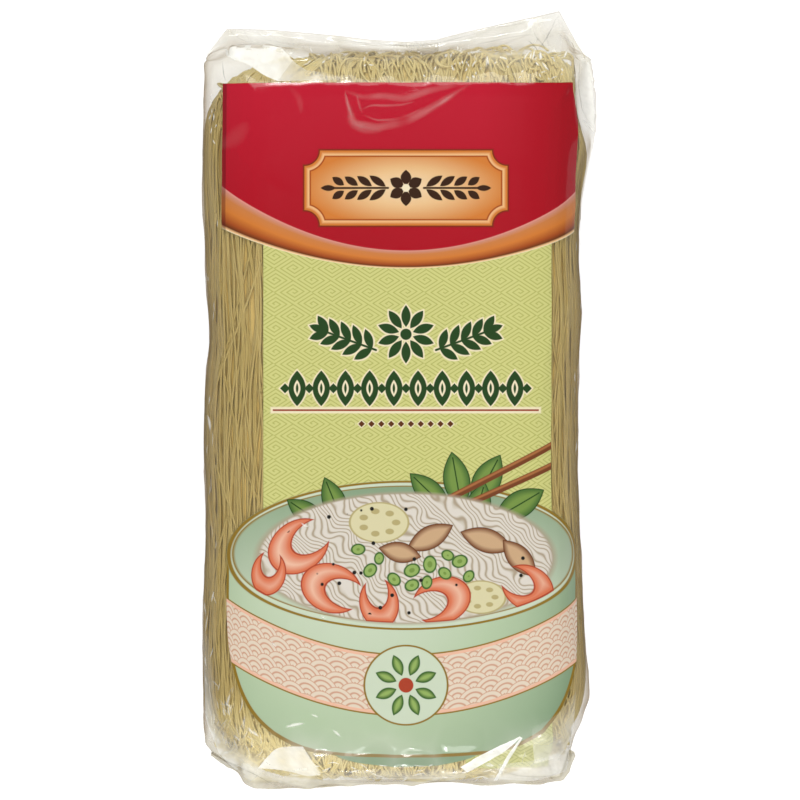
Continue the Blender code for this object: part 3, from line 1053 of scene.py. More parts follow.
def clearFilm():
    look = filmLook
    material, tree, output = newMaterial("clearFilm")
    facing = tree.nodes.new("ShaderNodeLayerWeight")
    facing.inputs["Blend"].default_value = 0.5
    see = tree.nodes.new("ShaderNodeBsdfTransparent")
    emptyShare = tree.nodes.new("ShaderNodeAttribute")
    emptyShare.attribute_name = "empty"
    tint = mixColour(tree, emptyShare.outputs["Fac"], look["seeThrough"], look["emptyTint"])
    edge = maths(tree, "POWER", facing.outputs["Facing"], 2.0)
    edge = maths(tree, "MULTIPLY", edge, maths(tree, "SUBTRACT", 1.0, emptyShare.outputs["Fac"]))
    tree.links.new(mixColour(tree, edge, tint, look["edgeShadeTint"]), see.inputs["Color"])
    # painted sheen: a milky white diffuse layer, partly the film's haze and partly standing in for its reflections
    hazeAndSheen = tree.nodes.new("ShaderNodeBsdfDiffuse")
    hazeAndSheen.inputs["Color"].default_value = rgb(250, 244, 220)
    gloss = tree.nodes.new("ShaderNodeBsdfGlossy")
    gloss.inputs["Roughness"].default_value = look["roughness"]
    gloss.inputs["Color"].default_value = (1, 1, 1, 1)
    hazeSheenShare = tree.nodes.new("ShaderNodeAttribute")
    hazeSheenShare.attribute_name = "hazeAndSheen"
    hazeSheenMix = tree.nodes.new("ShaderNodeMixShader")
    share = maths(tree, "ADD", hazeSheenShare.outputs["Fac"], look["hazeAndSheen"], clamp=True)
    tree.links.new(lampShare(tree, share, look), hazeSheenMix.inputs[0])
    tree.links.new(see.outputs[0], hazeSheenMix.inputs[1])
    tree.links.new(hazeAndSheen.outputs[0], hazeSheenMix.inputs[2])
    fresnel = tree.nodes.new("ShaderNodeFresnel")
    fresnel.inputs["IOR"].default_value = 1.5
    mirror = maths(tree, "MULTIPLY", fresnel.outputs[0], look["gloss"])
    mirror = maths(tree, "MINIMUM", mirror, look["mostGloss"])
    mixed = tree.nodes.new("ShaderNodeMixShader")
    tree.links.new(mirror, mixed.inputs[0])
    tree.links.new(hazeSheenMix.outputs[0], mixed.inputs[1])
    tree.links.new(gloss.outputs[0], mixed.inputs[2])
    tree.links.new(mixed.outputs[0], output.inputs["Surface"])
    bump = filmBump(tree)
    for node in (hazeAndSheen, gloss):
        tree.links.new(bump, node.inputs["Normal"])
    return material


def foldedFilmSheen():
    # milky where the film is folded on itself, with painted highlights and glints, and with painted shade along its
    # creases
    material, tree, output = newMaterial("foldedFilmSheen")
    milkAndSheen, dark = tree.nodes.new("ShaderNodeAttribute"), tree.nodes.new("ShaderNodeAttribute")
    milkAndSheen.attribute_name, dark.attribute_name = "milkAndSheen", "dark"
    see = tree.nodes.new("ShaderNodeBsdfTransparent")
    tree.links.new(mixColour(tree, dark.outputs["Fac"], (1, 1, 1, 1), (0, 0, 0, 1)), see.inputs["Color"])
    white = tree.nodes.new("ShaderNodeBsdfDiffuse")
    white.inputs["Color"].default_value = rgb(249, 248, 240)
    mixed = tree.nodes.new("ShaderNodeMixShader")
    tree.links.new(lampShare(tree, milkAndSheen.outputs["Fac"], filmLook), mixed.inputs[0])
    tree.links.new(see.outputs[0], mixed.inputs[1])
    tree.links.new(white.outputs[0], mixed.inputs[2])
    tree.links.new(mixed.outputs[0], output.inputs["Surface"])
    return material


def driedNoodle(name, dark, light, toneShare):
    material, tree, output = newMaterial(name)
    shader = tree.nodes.new("ShaderNodeBsdfPrincipled")
    tree.links.new(shader.outputs[0], output.inputs["Surface"])
    shader.inputs["Roughness"].default_value = 0.42
    shader.inputs["Specular IOR Level"].default_value = 0.45
    coords = tree.nodes.new("ShaderNodeTexCoord")
    tone = tree.nodes.new("ShaderNodeAttribute")
    tone.attribute_name = "tone"
    grain = noiseNode(tree, coords.outputs["Object"], 90.0, 3.0)
    share = maths(tree, "MULTIPLY", tone.outputs["Fac"], toneShare)
    share = maths(tree, "MULTIPLY_ADD", grain, 1.0 - toneShare, share, clamp=True)
    # painted light: the strands turn paler towards the folded ends, lifting the shade between them there
    place = tree.nodes.new("ShaderNodeSeparateXYZ")
    tree.links.new(coords.outputs["Object"], place.inputs[0])
    far = maths(tree, "MULTIPLY_ADD", maths(tree, "ABSOLUTE", place.outputs[1]), 1 / (22 * mm), -4.45, clamp=True)
    colour = mixColour(tree, share, dark, light)
    colour = mixColour(tree, maths(tree, "MULTIPLY", far, 0.85), colour, rgb(255, 240, 176))
    tree.links.new(colour, shader.inputs["Base Color"])
    return material


# ---------- print ----------
# All of the print is worked out in millimetres from the middle of the pack's front.

printValues = {
    "middle": 2.0,
    "left": -62.8, "right": 60.4, "top": 106.6, "bottom": -123.4,
    "slantEnd": 56.6,           # the header is narrower at its very top right
    "panelLeft": -47.8, "panelRight": 49.2, "panelLow": -101.0,
    "arcLow": 50.0, "arcRise": 20.0, "arcReach": 60.0,      # lower edge of the red header
    "bandWidth": 6.0, "bandSpread": 7.5,
    "plaqueY": 71.0,
    "emblemY": 22.0,
    "borderY": 3.9,
    "ruleY": -3.4,
    "captionY": -8.0,
    "rimY": -52.0, "rimReach": 61.0, "rimHeight": 25.0,
    "bowlDepth": 68.0, "bowlSquareness": 3.4,
    "patchLeft": 20.0, "patchLow": -122.4,      # the panel goes on below the bowl, on the right
    "inkLoss": 0.13,            # share of the light that the thin inks swallow
}

inks = {
    "redTop": rgb(194, 24, 48), "red": rgb(182, 12, 34), "redDeep": rgb(170, 8, 27),
    "paper": rgb(212, 211, 134), "lattice": rgb(172, 174, 90),
    "darkGreen": rgb(38, 70, 30), "cream": rgb(245, 232, 196),
    "rule": rgb(150, 52, 30), "brown": rgb(96, 52, 24),
    "orange": rgb(214, 126, 52), "orangeDeep": rgb(168, 78, 30), "orangePale": rgb(240, 186, 128),
    "pink": rgb(236, 158, 146), "gold": rgb(146, 116, 40), "goldPale": rgb(214, 196, 124),
    "celadon": rgb(184, 204, 168), "celadonDeep": rgb(134, 160, 126), "celadonPale": rgb(208, 220, 194),
    "noodle": rgb(226, 218, 206), "noodleMiddle": rgb(208, 198, 180), "noodleShade": rgb(176, 160, 136),
    "wave": rgb(232, 216, 194), "waveLine": rgb(206, 144, 112),
    "salmon": rgb(222, 120, 82), "salmonPale": rgb(240, 190, 162), "salmonDeep": rgb(176, 66, 40),
    "leaf": rgb(66, 104, 48), "leafPale": rgb(120, 150, 70), "chive": rgb(150, 178, 96),
    "mushroom": rgb(134, 88, 60), "mushroomPale": rgb(206, 170, 130),
    "seed": rgb(36, 34, 30), "rootPale": rgb(222, 214, 170), "rootShade": rgb(186, 172, 118),
    "wood": rgb(120, 66, 36), "woodPale": rgb(176, 112, 64),
}


def shapeGroup(kind):
    # distance in millimetres to a turned shape's edge, less than 0 inside it
    group = bpy.data.node_groups.new(kind + "Shape", "ShaderNodeTree")
    for name in ("x", "y", "centreX", "centreY", "sizeX", "sizeY", "turn"):
        group.interface.new_socket(name, in_out="INPUT", socket_type="NodeSocketFloat")
    group.interface.new_socket("distance", in_out="OUTPUT", socket_type="NodeSocketFloat")
    inputs = group.nodes.new("NodeGroupInput").outputs
    output = group.nodes.new("NodeGroupOutput")
    dx = maths(group, "SUBTRACT", inputs["x"], inputs["centreX"])
    dy = maths(group, "SUBTRACT", inputs["y"], inputs["centreY"])
    cosine = maths(group, "COSINE", inputs["turn"])
    sine = maths(group, "SINE", inputs["turn"])
    p = maths(group, "MULTIPLY_ADD", dx, cosine, maths(group, "MULTIPLY", dy, sine))
    q = maths(group, "SUBTRACT", maths(group, "MULTIPLY", dy, cosine), maths(group, "MULTIPLY", dx, sine))
    sizeX, sizeY = inputs["sizeX"], inputs["sizeY"]
    if kind == "oval":
        px, qy = maths(group, "DIVIDE", p, sizeX), maths(group, "DIVIDE", q, sizeY)
        square = maths(group, "MULTIPLY_ADD", px, px, maths(group, "MULTIPLY", qy, qy))
        smaller = maths(group, "MINIMUM", sizeX, sizeY)
        distance = maths(group, "MULTIPLY", maths(group, "SUBTRACT", maths(group, "SQRT", square), 1.0), smaller)
    elif kind == "leaf":
        px, qy = maths(group, "DIVIDE", p, sizeX), maths(group, "DIVIDE", maths(group, "ABSOLUTE", q), sizeY)
        bulge = maths(group, "SUBTRACT", maths(group, "MULTIPLY_ADD", px, px, qy), 1.0)
        distance = maths(group, "MULTIPLY", bulge, sizeY)
    elif kind == "stick":
        past = maths(group, "MAXIMUM", maths(group, "SUBTRACT", maths(group, "ABSOLUTE", p), sizeX), 0.0)
        square = maths(group, "MULTIPLY_ADD", past, past, maths(group, "MULTIPLY", q, q))
        distance = maths(group, "SUBTRACT", maths(group, "SQRT", square), sizeY)
    else:
        px = maths(group, "SUBTRACT", maths(group, "ABSOLUTE", p), sizeX)
        qy = maths(group, "SUBTRACT", maths(group, "ABSOLUTE", q), sizeY)
        distance = maths(group, "MAXIMUM", px, qy)
    group.links.new(distance, output.inputs["distance"])
    return group


def latticeGroup():
    # a traditional key-fret lattice: square spirals in leaning cells, every other one mirrored
    group = bpy.data.node_groups.new("keyFret", "ShaderNodeTree")
    for name in ("x", "y"):
        group.interface.new_socket(name, in_out="INPUT", socket_type="NodeSocketFloat")
    group.interface.new_socket("line", in_out="OUTPUT", socket_type="NodeSocketFloat")
    inputs = group.nodes.new("NodeGroupInput").outputs
    output = group.nodes.new("NodeGroupOutput")
    cellWidth, cellHeight, turns, lineShare = 12.6, 8.0, 6.0, 0.17
    across = maths(group, "DIVIDE", inputs["x"], cellWidth)
    s = maths(group, "MULTIPLY_ADD", inputs["y"], 1 / cellHeight, across)
    t = maths(group, "MULTIPLY_ADD", inputs["y"], -1 / cellHeight, across)
    a = maths(group, "SUBTRACT", maths(group, "FRACT", s), 0.5)
    b = maths(group, "SUBTRACT", maths(group, "FRACT", t), 0.5)
    cells = maths(group, "ADD", maths(group, "FLOOR", s), maths(group, "FLOOR", t))
    odd = maths(group, "MULTIPLY", maths(group, "FRACT", maths(group, "MULTIPLY", cells, 0.5)), 2.0)
    b = maths(group, "MULTIPLY", b, maths(group, "MULTIPLY_ADD", odd, -2.0, 1.0))
    lower = maths(group, "LESS_THAN", b, 0.0)
    a = maths(group, "MULTIPLY_ADD", lower, -0.5 / turns, a)
    ring = maths(group, "MAXIMUM", maths(group, "ABSOLUTE", a), maths(group, "ABSOLUTE", b))
    ring = maths(group, "MULTIPLY_ADD", ring, turns, maths(group, "MULTIPLY", lower, -0.5))
    off = maths(group, "ABSOLUTE", maths(group, "SUBTRACT", maths(group, "FRACT", maths(group, "ADD", ring, 0.5)), 0.5))
    line = maths(group, "MULTIPLY_ADD", off, -1 / lineShare, 1.35, clamp=True)
    group.links.new(line, output.inputs["line"])
    return group


def waveGroup():
    # a traditional pattern of overlapping scales, each with rings inside it
    group = bpy.data.node_groups.new("scaleWaves", "ShaderNodeTree")
    for name in ("x", "y"):
        group.interface.new_socket(name, in_out="INPUT", socket_type="NodeSocketFloat")
    group.interface.new_socket("line", in_out="OUTPUT", socket_type="NodeSocketFloat")
    inputs = group.nodes.new("NodeGroupInput").outputs
    output = group.nodes.new("NodeGroupOutput")
    radius, ringCount = 5.2, 3.0
    y = maths(group, "DIVIDE", inputs["y"], radius / 2)
    x = maths(group, "DIVIDE", inputs["x"], radius * 2)
    row = maths(group, "FLOOR", y)
    odd = maths(group, "MULTIPLY", maths(group, "FRACT", maths(group, "MULTIPLY", row, 0.5)), 2.0)
    rise = maths(group, "MULTIPLY", maths(group, "SUBTRACT", y, row), 0.5)

    def reach(shift, height):
        side = maths(group, "ADD", maths(group, "MULTIPLY_ADD", shift, 0.5, x), 0.5)
        side = maths(group, "MULTIPLY", maths(group, "SUBTRACT", maths(group, "FRACT", side), 0.5), 2.0)
        square = maths(group, "MULTIPLY_ADD", side, side, maths(group, "MULTIPLY", height, height))
        return maths(group, "SQRT", square)

    front = reach(maths(group, "SUBTRACT", 1.0, odd), maths(group, "ADD", rise, 0.5))
    behind = reach(odd, rise)
    inFront = maths(group, "LESS_THAN", front, 1.0)
    gap = maths(group, "SUBTRACT", front, behind)
    ring = maths(group, "MULTIPLY_ADD", inFront, gap, behind)
    ring = maths(group, "FRACT", maths(group, "MULTIPLY_ADD", ring, ringCount, 0.5))
    off = maths(group, "ABSOLUTE", maths(group, "SUBTRACT", ring, 0.5))
    line = maths(group, "MULTIPLY_ADD", off, -5.0, 1.3, clamp=True)
    group.links.new(line, output.inputs["line"])
    return group


def printedFilm():
    v = printValues
    material, tree, output = newMaterial("printedFilm")
    groups = {kind: shapeGroup(kind) for kind in ("oval", "leaf", "stick", "box")}
    uv = tree.nodes.new("ShaderNodeUVMap")
    uv.uv_map = "film"
    split = tree.nodes.new("ShaderNodeSeparateXYZ")
    tree.links.new(uv.outputs[0], split.inputs[0])
    x = maths(tree, "MULTIPLY_ADD", split.outputs[0], 1 / mm, -v["middle"])
    y = maths(tree, "MULTIPLY", split.outputs[1], 1 / mm)
    either = maths(tree, "ABSOLUTE", x)      # mirrored about the middle

    def shape(kind, px, py, centre, size, turn=0.0):
        node = tree.nodes.new("ShaderNodeGroup")
        node.node_tree = groups[kind]
        values = (px, py, *centre, *size, math.radians(turn))
        for index, value in enumerate(values):
            feed(tree, node.inputs[index], value)
        return node.outputs[0]

    def mask(distance, soft=0.22):
        return maths(tree, "MULTIPLY_ADD", distance, -1 / soft, 0.5, clamp=True)

    def grow(distance, amount):
        return maths(tree, "SUBTRACT", distance, amount)

    def union(*distances):
        total = distances[0]
        for distance in distances[1:]:
            total = maths(tree, "MINIMUM", total, distance)
        return total

    def both(*distances):
        total = distances[0]
        for distance in distances[1:]:
            total = maths(tree, "MAXIMUM", total, distance)
        return total

    def outside(distance):
        return maths(tree, "MULTIPLY", distance, -1.0)

    def paint(base, distance, colour, soft=0.22):
        return mixColour(tree, mask(distance, soft), base, colour)

    def repeat(value, period):
        # places within each repeat, from minus half a period to half a period
        share = maths(tree, "FRACT", maths(tree, "DIVIDE", value, period))
        return maths(tree, "MULTIPLY", maths(tree, "SUBTRACT", share, 0.5), period)

    def petals(centreX, centreY, count, inner, length, width):
        # a ring of pointed petals
        dx, dy = maths(tree, "SUBTRACT", x, centreX), maths(tree, "SUBTRACT", y, centreY)
        radius = maths(tree, "SQRT", maths(tree, "MULTIPLY_ADD", dx, dx, maths(tree, "MULTIPLY", dy, dy)))
        step = 2 * math.pi / count
        angle = repeat(maths(tree, "ADD", maths(tree, "ARCTAN2", dy, dx), 8 * step), step)
        px = maths(tree, "MULTIPLY", radius, maths(tree, "COSINE", angle))
        py = maths(tree, "MULTIPLY", radius, maths(tree, "SINE", angle))
        return shape("leaf", px, py, (inner + length / 2, 0.0), (length / 2, width / 2))

    # pale green panel with its lattice
    lattice = tree.nodes.new("ShaderNodeGroup")
    lattice.node_tree = latticeGroup()
    feed(tree, lattice.inputs[0], x)
    feed(tree, lattice.inputs[1], y)
    colour = mixColour(tree, maths(tree, "MULTIPLY", lattice.outputs[0], 0.82), inks["paper"], inks["lattice"])
    panelMiddle, panelHalf = (v["panelLeft"] + v["panelRight"]) / 2, (v["panelRight"] - v["panelLeft"]) / 2
    panel = shape("box", x, y, (panelMiddle, (v["panelLow"] + 70.0) / 2), (panelHalf, (70.0 - v["panelLow"]) / 2))
    patchMiddle, patchHalf = (v["patchLeft"] + v["panelRight"]) / 2, (v["panelRight"] - v["patchLeft"]) / 2
    patchY, patchRise = (v["patchLow"] + v["panelLow"]) / 2, (v["panelLow"] - v["patchLow"]) / 2 + 1.0
    panel = union(panel, shape("box", x, y, (patchMiddle, patchY), (patchHalf, patchRise)))

    # emblem: a rosette between two pairs of grain ears, mirrored about the middle
    ears = shape("stick", either, y, (18.5, v["emblemY"] - 2.2), (9.0, 0.38), 20)
    for index in range(5):
        along = index / 4
        stemX, stemY = 11.5 + 14.5 * along, v["emblemY"] - 4.8 + 5.4 * along
        for side in (-1, 1):
            turn = 20 + side * (52 - 14 * along)
            offX = 3.3 * math.cos(math.radians(turn))
            offY = 3.3 * math.sin(math.radians(turn))
            leafLength = 3.9 - 0.8 * abs(along - 0.35)
            leaf = shape("leaf", either, y, (stemX + offX, stemY + offY), (leafLength, 1.45), turn)
            ears = union(ears, leaf)
    ears = union(ears, shape("leaf", either, y, (29.4, v["emblemY"] + 1.9), (3.2, 1.3), 20))
    rosette = petals(0.0, v["emblemY"], 10, 2.4, 7.4, 3.1)
    hub = shape("oval", x, y, (0.0, v["emblemY"]), (1.9, 1.9))
    emblem = union(ears, rosette, hub)

    # a border of upright petals under the emblem, then the rule and a row of lozenges
    borderX = repeat(either, 8.1)
    upright = shape("leaf", borderX, y, (0.0, v["borderY"]), (6.0, 2.9), 90)
    bud = shape("leaf", borderX, y, (0.0, v["borderY"]), (2.4, 0.8), 90)
    between = repeat(maths(tree, "ADD", either, 4.05), 8.1)
    stud = maths(tree, "ADD", maths(tree, "ABSOLUTE", between),
                 maths(tree, "ABSOLUTE", maths(tree, "SUBTRACT", y, v["borderY"])))
    flowers = both(union(both(upright, outside(grow(bud, 0.3))), grow(bud, -0.35)), grow(either, 40.0))
    border = union(flowers, both(grow(stud, 1.7), grow(either, 44.0)))
    colour = paint(colour, grow(union(emblem, border), 0.55), inks["cream"], 0.5)
    colour = paint(colour, union(emblem, border), inks["darkGreen"])
    rule = shape("box", x, y, (0.0, v["ruleY"]), (44.6, 0.30))
    colour = paint(colour, grow(rule, 0.75), inks["cream"], 0.6)
    colour = paint(colour, rule, inks["rule"])
    lozengeX = repeat(either, 3.3)
    lozenge = maths(tree, "ADD", maths(tree, "ABSOLUTE", lozengeX),
                    maths(tree, "ABSOLUTE", maths(tree, "SUBTRACT", y, v["captionY"])))
    lozenges = both(grow(lozenge, 1.1), maths(tree, "SUBTRACT", either, 16.5))
    colour = paint(colour, grow(lozenges, 0.4), inks["cream"], 0.5)
    colour = paint(colour, lozenges, inks["brown"])

    # bowl: its outside, the rim and what it holds
    rimY, reach, rimHeight = v["rimY"], v["rimReach"], v["rimHeight"]
    sideShare = maths(tree, "DIVIDE", x, reach)
    sideSquare = maths(tree, "MULTIPLY", sideShare, sideShare)
    down = maths(tree, "DIVIDE", maths(tree, "SUBTRACT", rimY, y), v["bowlDepth"])
    lowPart = maths(tree, "MAXIMUM", down, 0.0)
    bulk = maths(tree, "ADD", maths(tree, "POWER", maths(tree, "ABSOLUTE", sideShare), v["bowlSquareness"]),
                 maths(tree, "POWER", lowPart, v["bowlSquareness"]))
    body = maths(tree, "MULTIPLY", maths(tree, "SUBTRACT", bulk, 1.0), 24.0)
    body = both(body, maths(tree, "MULTIPLY", down, -30.0))
    foot = shape("oval", x, y, (0.0, -117.5), (25.0, 5.6))
    rim = shape("oval", x, y, (0.0, rimY), (reach, rimHeight))
    inside = shape("oval", x, y, (0.0, rimY + 0.4), (reach - 3.0, rimHeight - 2.4))
    bowl = union(body, foot, rim)
    shade = maths(tree, "MULTIPLY_ADD", maths(tree, "ADD", sideShare, 0.25), 0.55, 0.0)
    shade = maths(tree, "MULTIPLY", shade, shade)
    shade = maths(tree, "ADD", shade, maths(tree, "MULTIPLY", maths(tree, "MULTIPLY", lowPart, lowPart), 0.25))
    glaze = colourRamp(tree, maths(tree, "MULTIPLY", shade, 1.9, clamp=True),
                       [(0.0, inks["celadonPale"]), (0.35, inks["celadon"]), (1.0, inks["celadonDeep"])])
    colour = paint(colour, foot, inks["celadonDeep"])
    colour = mixColour(tree, mask(union(body, rim)), colour, inks["gold"])
    colour = mixColour(tree, mask(union(grow(body, -1.3), rim)), colour, glaze)

    # a band of scale waves that follows the bowl's round, and a round medallion in its middle
    bandY = maths(tree, "MULTIPLY_ADD", sideSquare, -19.0, y)
    waves = tree.nodes.new("ShaderNodeGroup")
    waves.node_tree = waveGroup()
    turned = maths(tree, "ARCSINE", maths(tree, "MULTIPLY", sideShare, 0.92))
    feed(tree, waves.inputs[0], maths(tree, "MULTIPLY", turned, 60.0))
    feed(tree, waves.inputs[1], bandY)
    waveColour = mixColour(tree, maths(tree, "MULTIPLY", waves.outputs[0], 0.8), inks["wave"], inks["waveLine"])
    band = maths(tree, "SUBTRACT", maths(tree, "ABSOLUTE", maths(tree, "ADD", bandY, 95.5)), 9.0)
    band = both(band, body)
    colour = paint(colour, grow(band, 1.5), inks["gold"])
    colour = paint(colour, grow(band, 1.0), inks["salmonPale"])
    colour = mixColour(tree, mask(band), colour, waveColour)
    medal = shape("oval", x, y, (0.0, -95.5), (13.0, 12.4))
    colour = paint(colour, grow(medal, 1.2), inks["gold"])
    colour = paint(colour, grow(medal, 0.6), inks["celadonPale"])
    sprig = petals(0.0, -95.5, 8, 3.4, 7.6, 3.6)
    colour = paint(colour, sprig, inks["leaf"])
    colour = paint(colour, grow(sprig, -0.9), inks["chive"], 1.0)
    colour = paint(colour, shape("oval", x, y, (0.0, -95.5), (2.5, 2.5)), inks["salmonDeep"])

    # rim and the inside wall
    colour = paint(colour, rim, inks["gold"])
    colour = paint(colour, grow(rim, -0.7), inks["celadonPale"])
    wallShade = maths(tree, "MULTIPLY_ADD", maths(tree, "SUBTRACT", y, rimY), 0.5 / rimHeight, 0.5, clamp=True)
    wall = mixColour(tree, wallShade, inks["celadonPale"], inks["celadonDeep"])
    colour = paint(colour, grow(inside, 0.35), inks["gold"])
    colour = mixColour(tree, mask(inside, 0.4), colour, wall)

    # leaves behind the noodles
    for centreX, centreY, sizeX, sizeY, turn in (
            (27, -27, 9.5, 4.4, 62), (17, -27, 9.5, 4.2, 100), (38, -35, 9.5, 4.2, 30), (8, -31, 9, 3.8, 136),
            (24, -36, 8.5, 4.0, 74), (-24, -34, 8.5, 3.6, 112), (-33, -38, 8, 3.4, 146)):
        leaf = shape("leaf", x, y, (centreX, centreY), (sizeX, sizeY), turn)
        vein = shape("stick", x, y, (centreX, centreY), (sizeX * 0.82, 0.22), turn)
        colour = paint(colour, grow(leaf, 0.35), inks["darkGreen"])
        colour = paint(colour, leaf, inks["leaf"])
        colour = paint(colour, grow(leaf, -1.1), inks["leafPale"], 2.4)
        colour = paint(colour, vein, inks["darkGreen"])

    # chopsticks lie across the back of the bowl
    for centreX, centreY, turn in ((33.0, -23.5, 27), (37.0, -27.5, 24)):
        stick = shape("stick", x, y, (centreX, centreY), (26.0, 1.15), turn)
        colour = paint(colour, stick, inks["wood"])
        sheen = shape("stick", x, y, (centreX - 0.2, centreY + 0.45), (25.5, 0.35), turn)
        colour = paint(colour, sheen, inks["woodPale"], 0.5)

    # the mound of noodles, held by the front of the rim
    mound = shape("oval", x, y, (0.0, rimY - 1.0), (49.0, 21.5))
    wave = tree.nodes.new("ShaderNodeTexWave")
    wave.wave_type = "BANDS"
    wave.bands_direction = "DIAGONAL"
    strandPlace = tree.nodes.new("ShaderNodeCombineXYZ")
    feed(tree, strandPlace.inputs[0], maths(tree, "MULTIPLY", x, 0.05))
    feed(tree, strandPlace.inputs[1], maths(tree, "MULTIPLY", y, 0.05))
    tree.links.new(strandPlace.outputs[0], wave.inputs["Vector"])
    wave.inputs["Scale"].default_value = 5.2
    wave.inputs["Distortion"].default_value = 17.0
    wave.inputs["Detail"].default_value = 0.0
    wave.inputs["Detail Scale"].default_value = 0.55
    strands = colourRamp(tree, wave.outputs["Fac"], [
        (0.0, inks["noodleShade"]), (0.22, inks["noodleMiddle"]), (0.6, inks["noodle"]), (1.0, inks["noodle"])])
    colour = paint(colour, grow(mound, 0.6), inks["noodleShade"], 1.2)
    colour = mixColour(tree, mask(mound, 0.5), colour, strands)

    # pale root slices with holes
    for centreX, centreY, sizeX, sizeY in ((-9, -41, 9.5, 6.4), (25, -66, 8.0, 5.2)):
        root = shape("oval", x, y, (centreX, centreY), (sizeX, sizeY))
        colour = paint(colour, grow(root, 0.45), inks["rootShade"])
        colour = paint(colour, root, inks["rootPale"])
        for index in range(7):
            angle = 2 * math.pi * index / 7
            holeX = centreX + 0.6 * sizeX * math.cos(angle)
            holeY = centreY + 0.6 * sizeY * math.sin(angle)
            hole = shape("oval", x, y, (holeX, holeY), (sizeX * 0.15, sizeY * 0.15))
            colour = paint(colour, hole, inks["rootShade"])

    # brown mushroom slices
    for centreX, centreY, sizeX, sizeY, turn in ((8, -46, 8.5, 3.6, 28), (27, -47, 9.0, 3.8, -18),
                                                 (38, -53, 8.0, 3.6, -48), (-2, -51, 7.0, 3.2, -12)):
        slice = shape("leaf", x, y, (centreX, centreY), (sizeX, sizeY), turn)
        colour = paint(colour, grow(slice, 0.3), inks["brown"])
        colour = paint(colour, slice, inks["mushroom"])
        colour = paint(colour, grow(slice, -1.0), inks["mushroomPale"], 1.6)

    # salmon crescents
    for centreX, centreY, size, turn in ((-36, -49, 10.5, 35), (-25, -63, 10, -20), (41, -63, 9.0, 150),
                                         (12, -67, 9.5, 200), (-46, -58, 7, 80), (-9, -68, 8.0, 100)):
        lean = math.radians(turn)
        outer = shape("oval", x, y, (centreX, centreY), (size, size * 0.78), turn)
        biteX, biteY = centreX + size * 0.55 * math.cos(lean), centreY + size * 0.55 * math.sin(lean)
        bite = shape("oval", x, y, (biteX, biteY), (size * 0.80, size * 0.50), turn)
        crescent = both(outer, outside(bite), inside)
        colour = paint(colour, grow(crescent, 0.4), inks["salmonDeep"])
        colour = paint(colour, crescent, inks["salmon"])
        colour = paint(colour, grow(crescent, -1.5), inks["salmonPale"], 2.2)

    # cut green rings and dark seeds
    for centreX, centreY, size in ((2, -57, 2.9), (-4, -60, 2.6), (8, -55, 3.0), (13, -58, 2.5), (-12, -57, 2.7),
                                   (18, -54, 2.8), (2, -62, 2.6), (21, -59, 2.3), (-16, -50, 2.5), (7, -61, 2.4),
                                   (-9, -53, 2.2), (14, -52, 2.3)):
        chive = shape("oval", x, y, (centreX, centreY), (size, size * 0.78), centreX * 11)
        colour = paint(colour, chive, inks["leaf"])
        colour = paint(colour, grow(chive, -0.5), inks["chive"])
        colour = paint(colour, grow(chive, -1.5), inks["leafPale"])
    seeds = tree.nodes.new("ShaderNodeTexVoronoi")
    seeds.inputs["Scale"].default_value = 3.6
    tree.links.new(strandPlace.outputs[0], seeds.inputs["Vector"])
    seedDots = maths(tree, "MULTIPLY_ADD", seeds.outputs["Distance"], 6.0, -0.72)
    colour = paint(colour, both(seedDots, grow(mound, -2.0)), inks["seed"])

    # red header with a banded lower edge
    arcShare = maths(tree, "DIVIDE", x, v["arcReach"])
    arcSquare = maths(tree, "MULTIPLY", arcShare, arcShare)
    below = maths(tree, "SUBTRACT", maths(tree, "MULTIPLY_ADD", arcSquare, v["arcRise"], v["arcLow"]), y)
    width = maths(tree, "MULTIPLY_ADD", arcSquare, v["bandSpread"], v["bandWidth"])
    sides = shape("box", x, y, ((v["left"] + v["right"]) / 2, 50.0), ((v["right"] - v["left"]) / 2, v["top"] - 50.0))
    slant = maths(tree, "MULTIPLY_ADD", y, 0.30, maths(tree, "SUBTRACT", x, v["slantEnd"] + 0.30 * v["top"]))
    header = both(sides, slant, maths(tree, "SUBTRACT", below, width))
    ribbon = colourRamp(tree, maths(tree, "DIVIDE", below, width), [
        (0.0, inks["pink"]), (0.07, rgb(208, 142, 118)), (0.22, rgb(206, 128, 70)), (0.5, inks["orange"]),
        (0.78, inks["orangeDeep"]), (0.90, rgb(104, 52, 20)), (0.95, inks["orangePale"]), (1.0, inks["cream"])])
    redShare = noiseNode(tree, uv.outputs[0], 11.0, 1.0)
    red = mixColour(tree, maths(tree, "MULTIPLY_ADD", redShare, 1.6, -0.35, clamp=True), inks["redDeep"], inks["red"])
    rise = maths(tree, "MULTIPLY_ADD", y, 1 / 45, -1.35, clamp=True)
    red = mixColour(tree, rise, red, inks["redTop"])
    red = mixColour(tree, maths(tree, "MULTIPLY_ADD", x, 1 / 28, -0.9, clamp=True), red, inks["redDeep"])
    headerColour = mixColour(tree, mask(below, 0.3), ribbon, red)
    headerColour = mixColour(tree, mask(maths(tree, "MULTIPLY", below, -1.0), 0.3), red, ribbon)

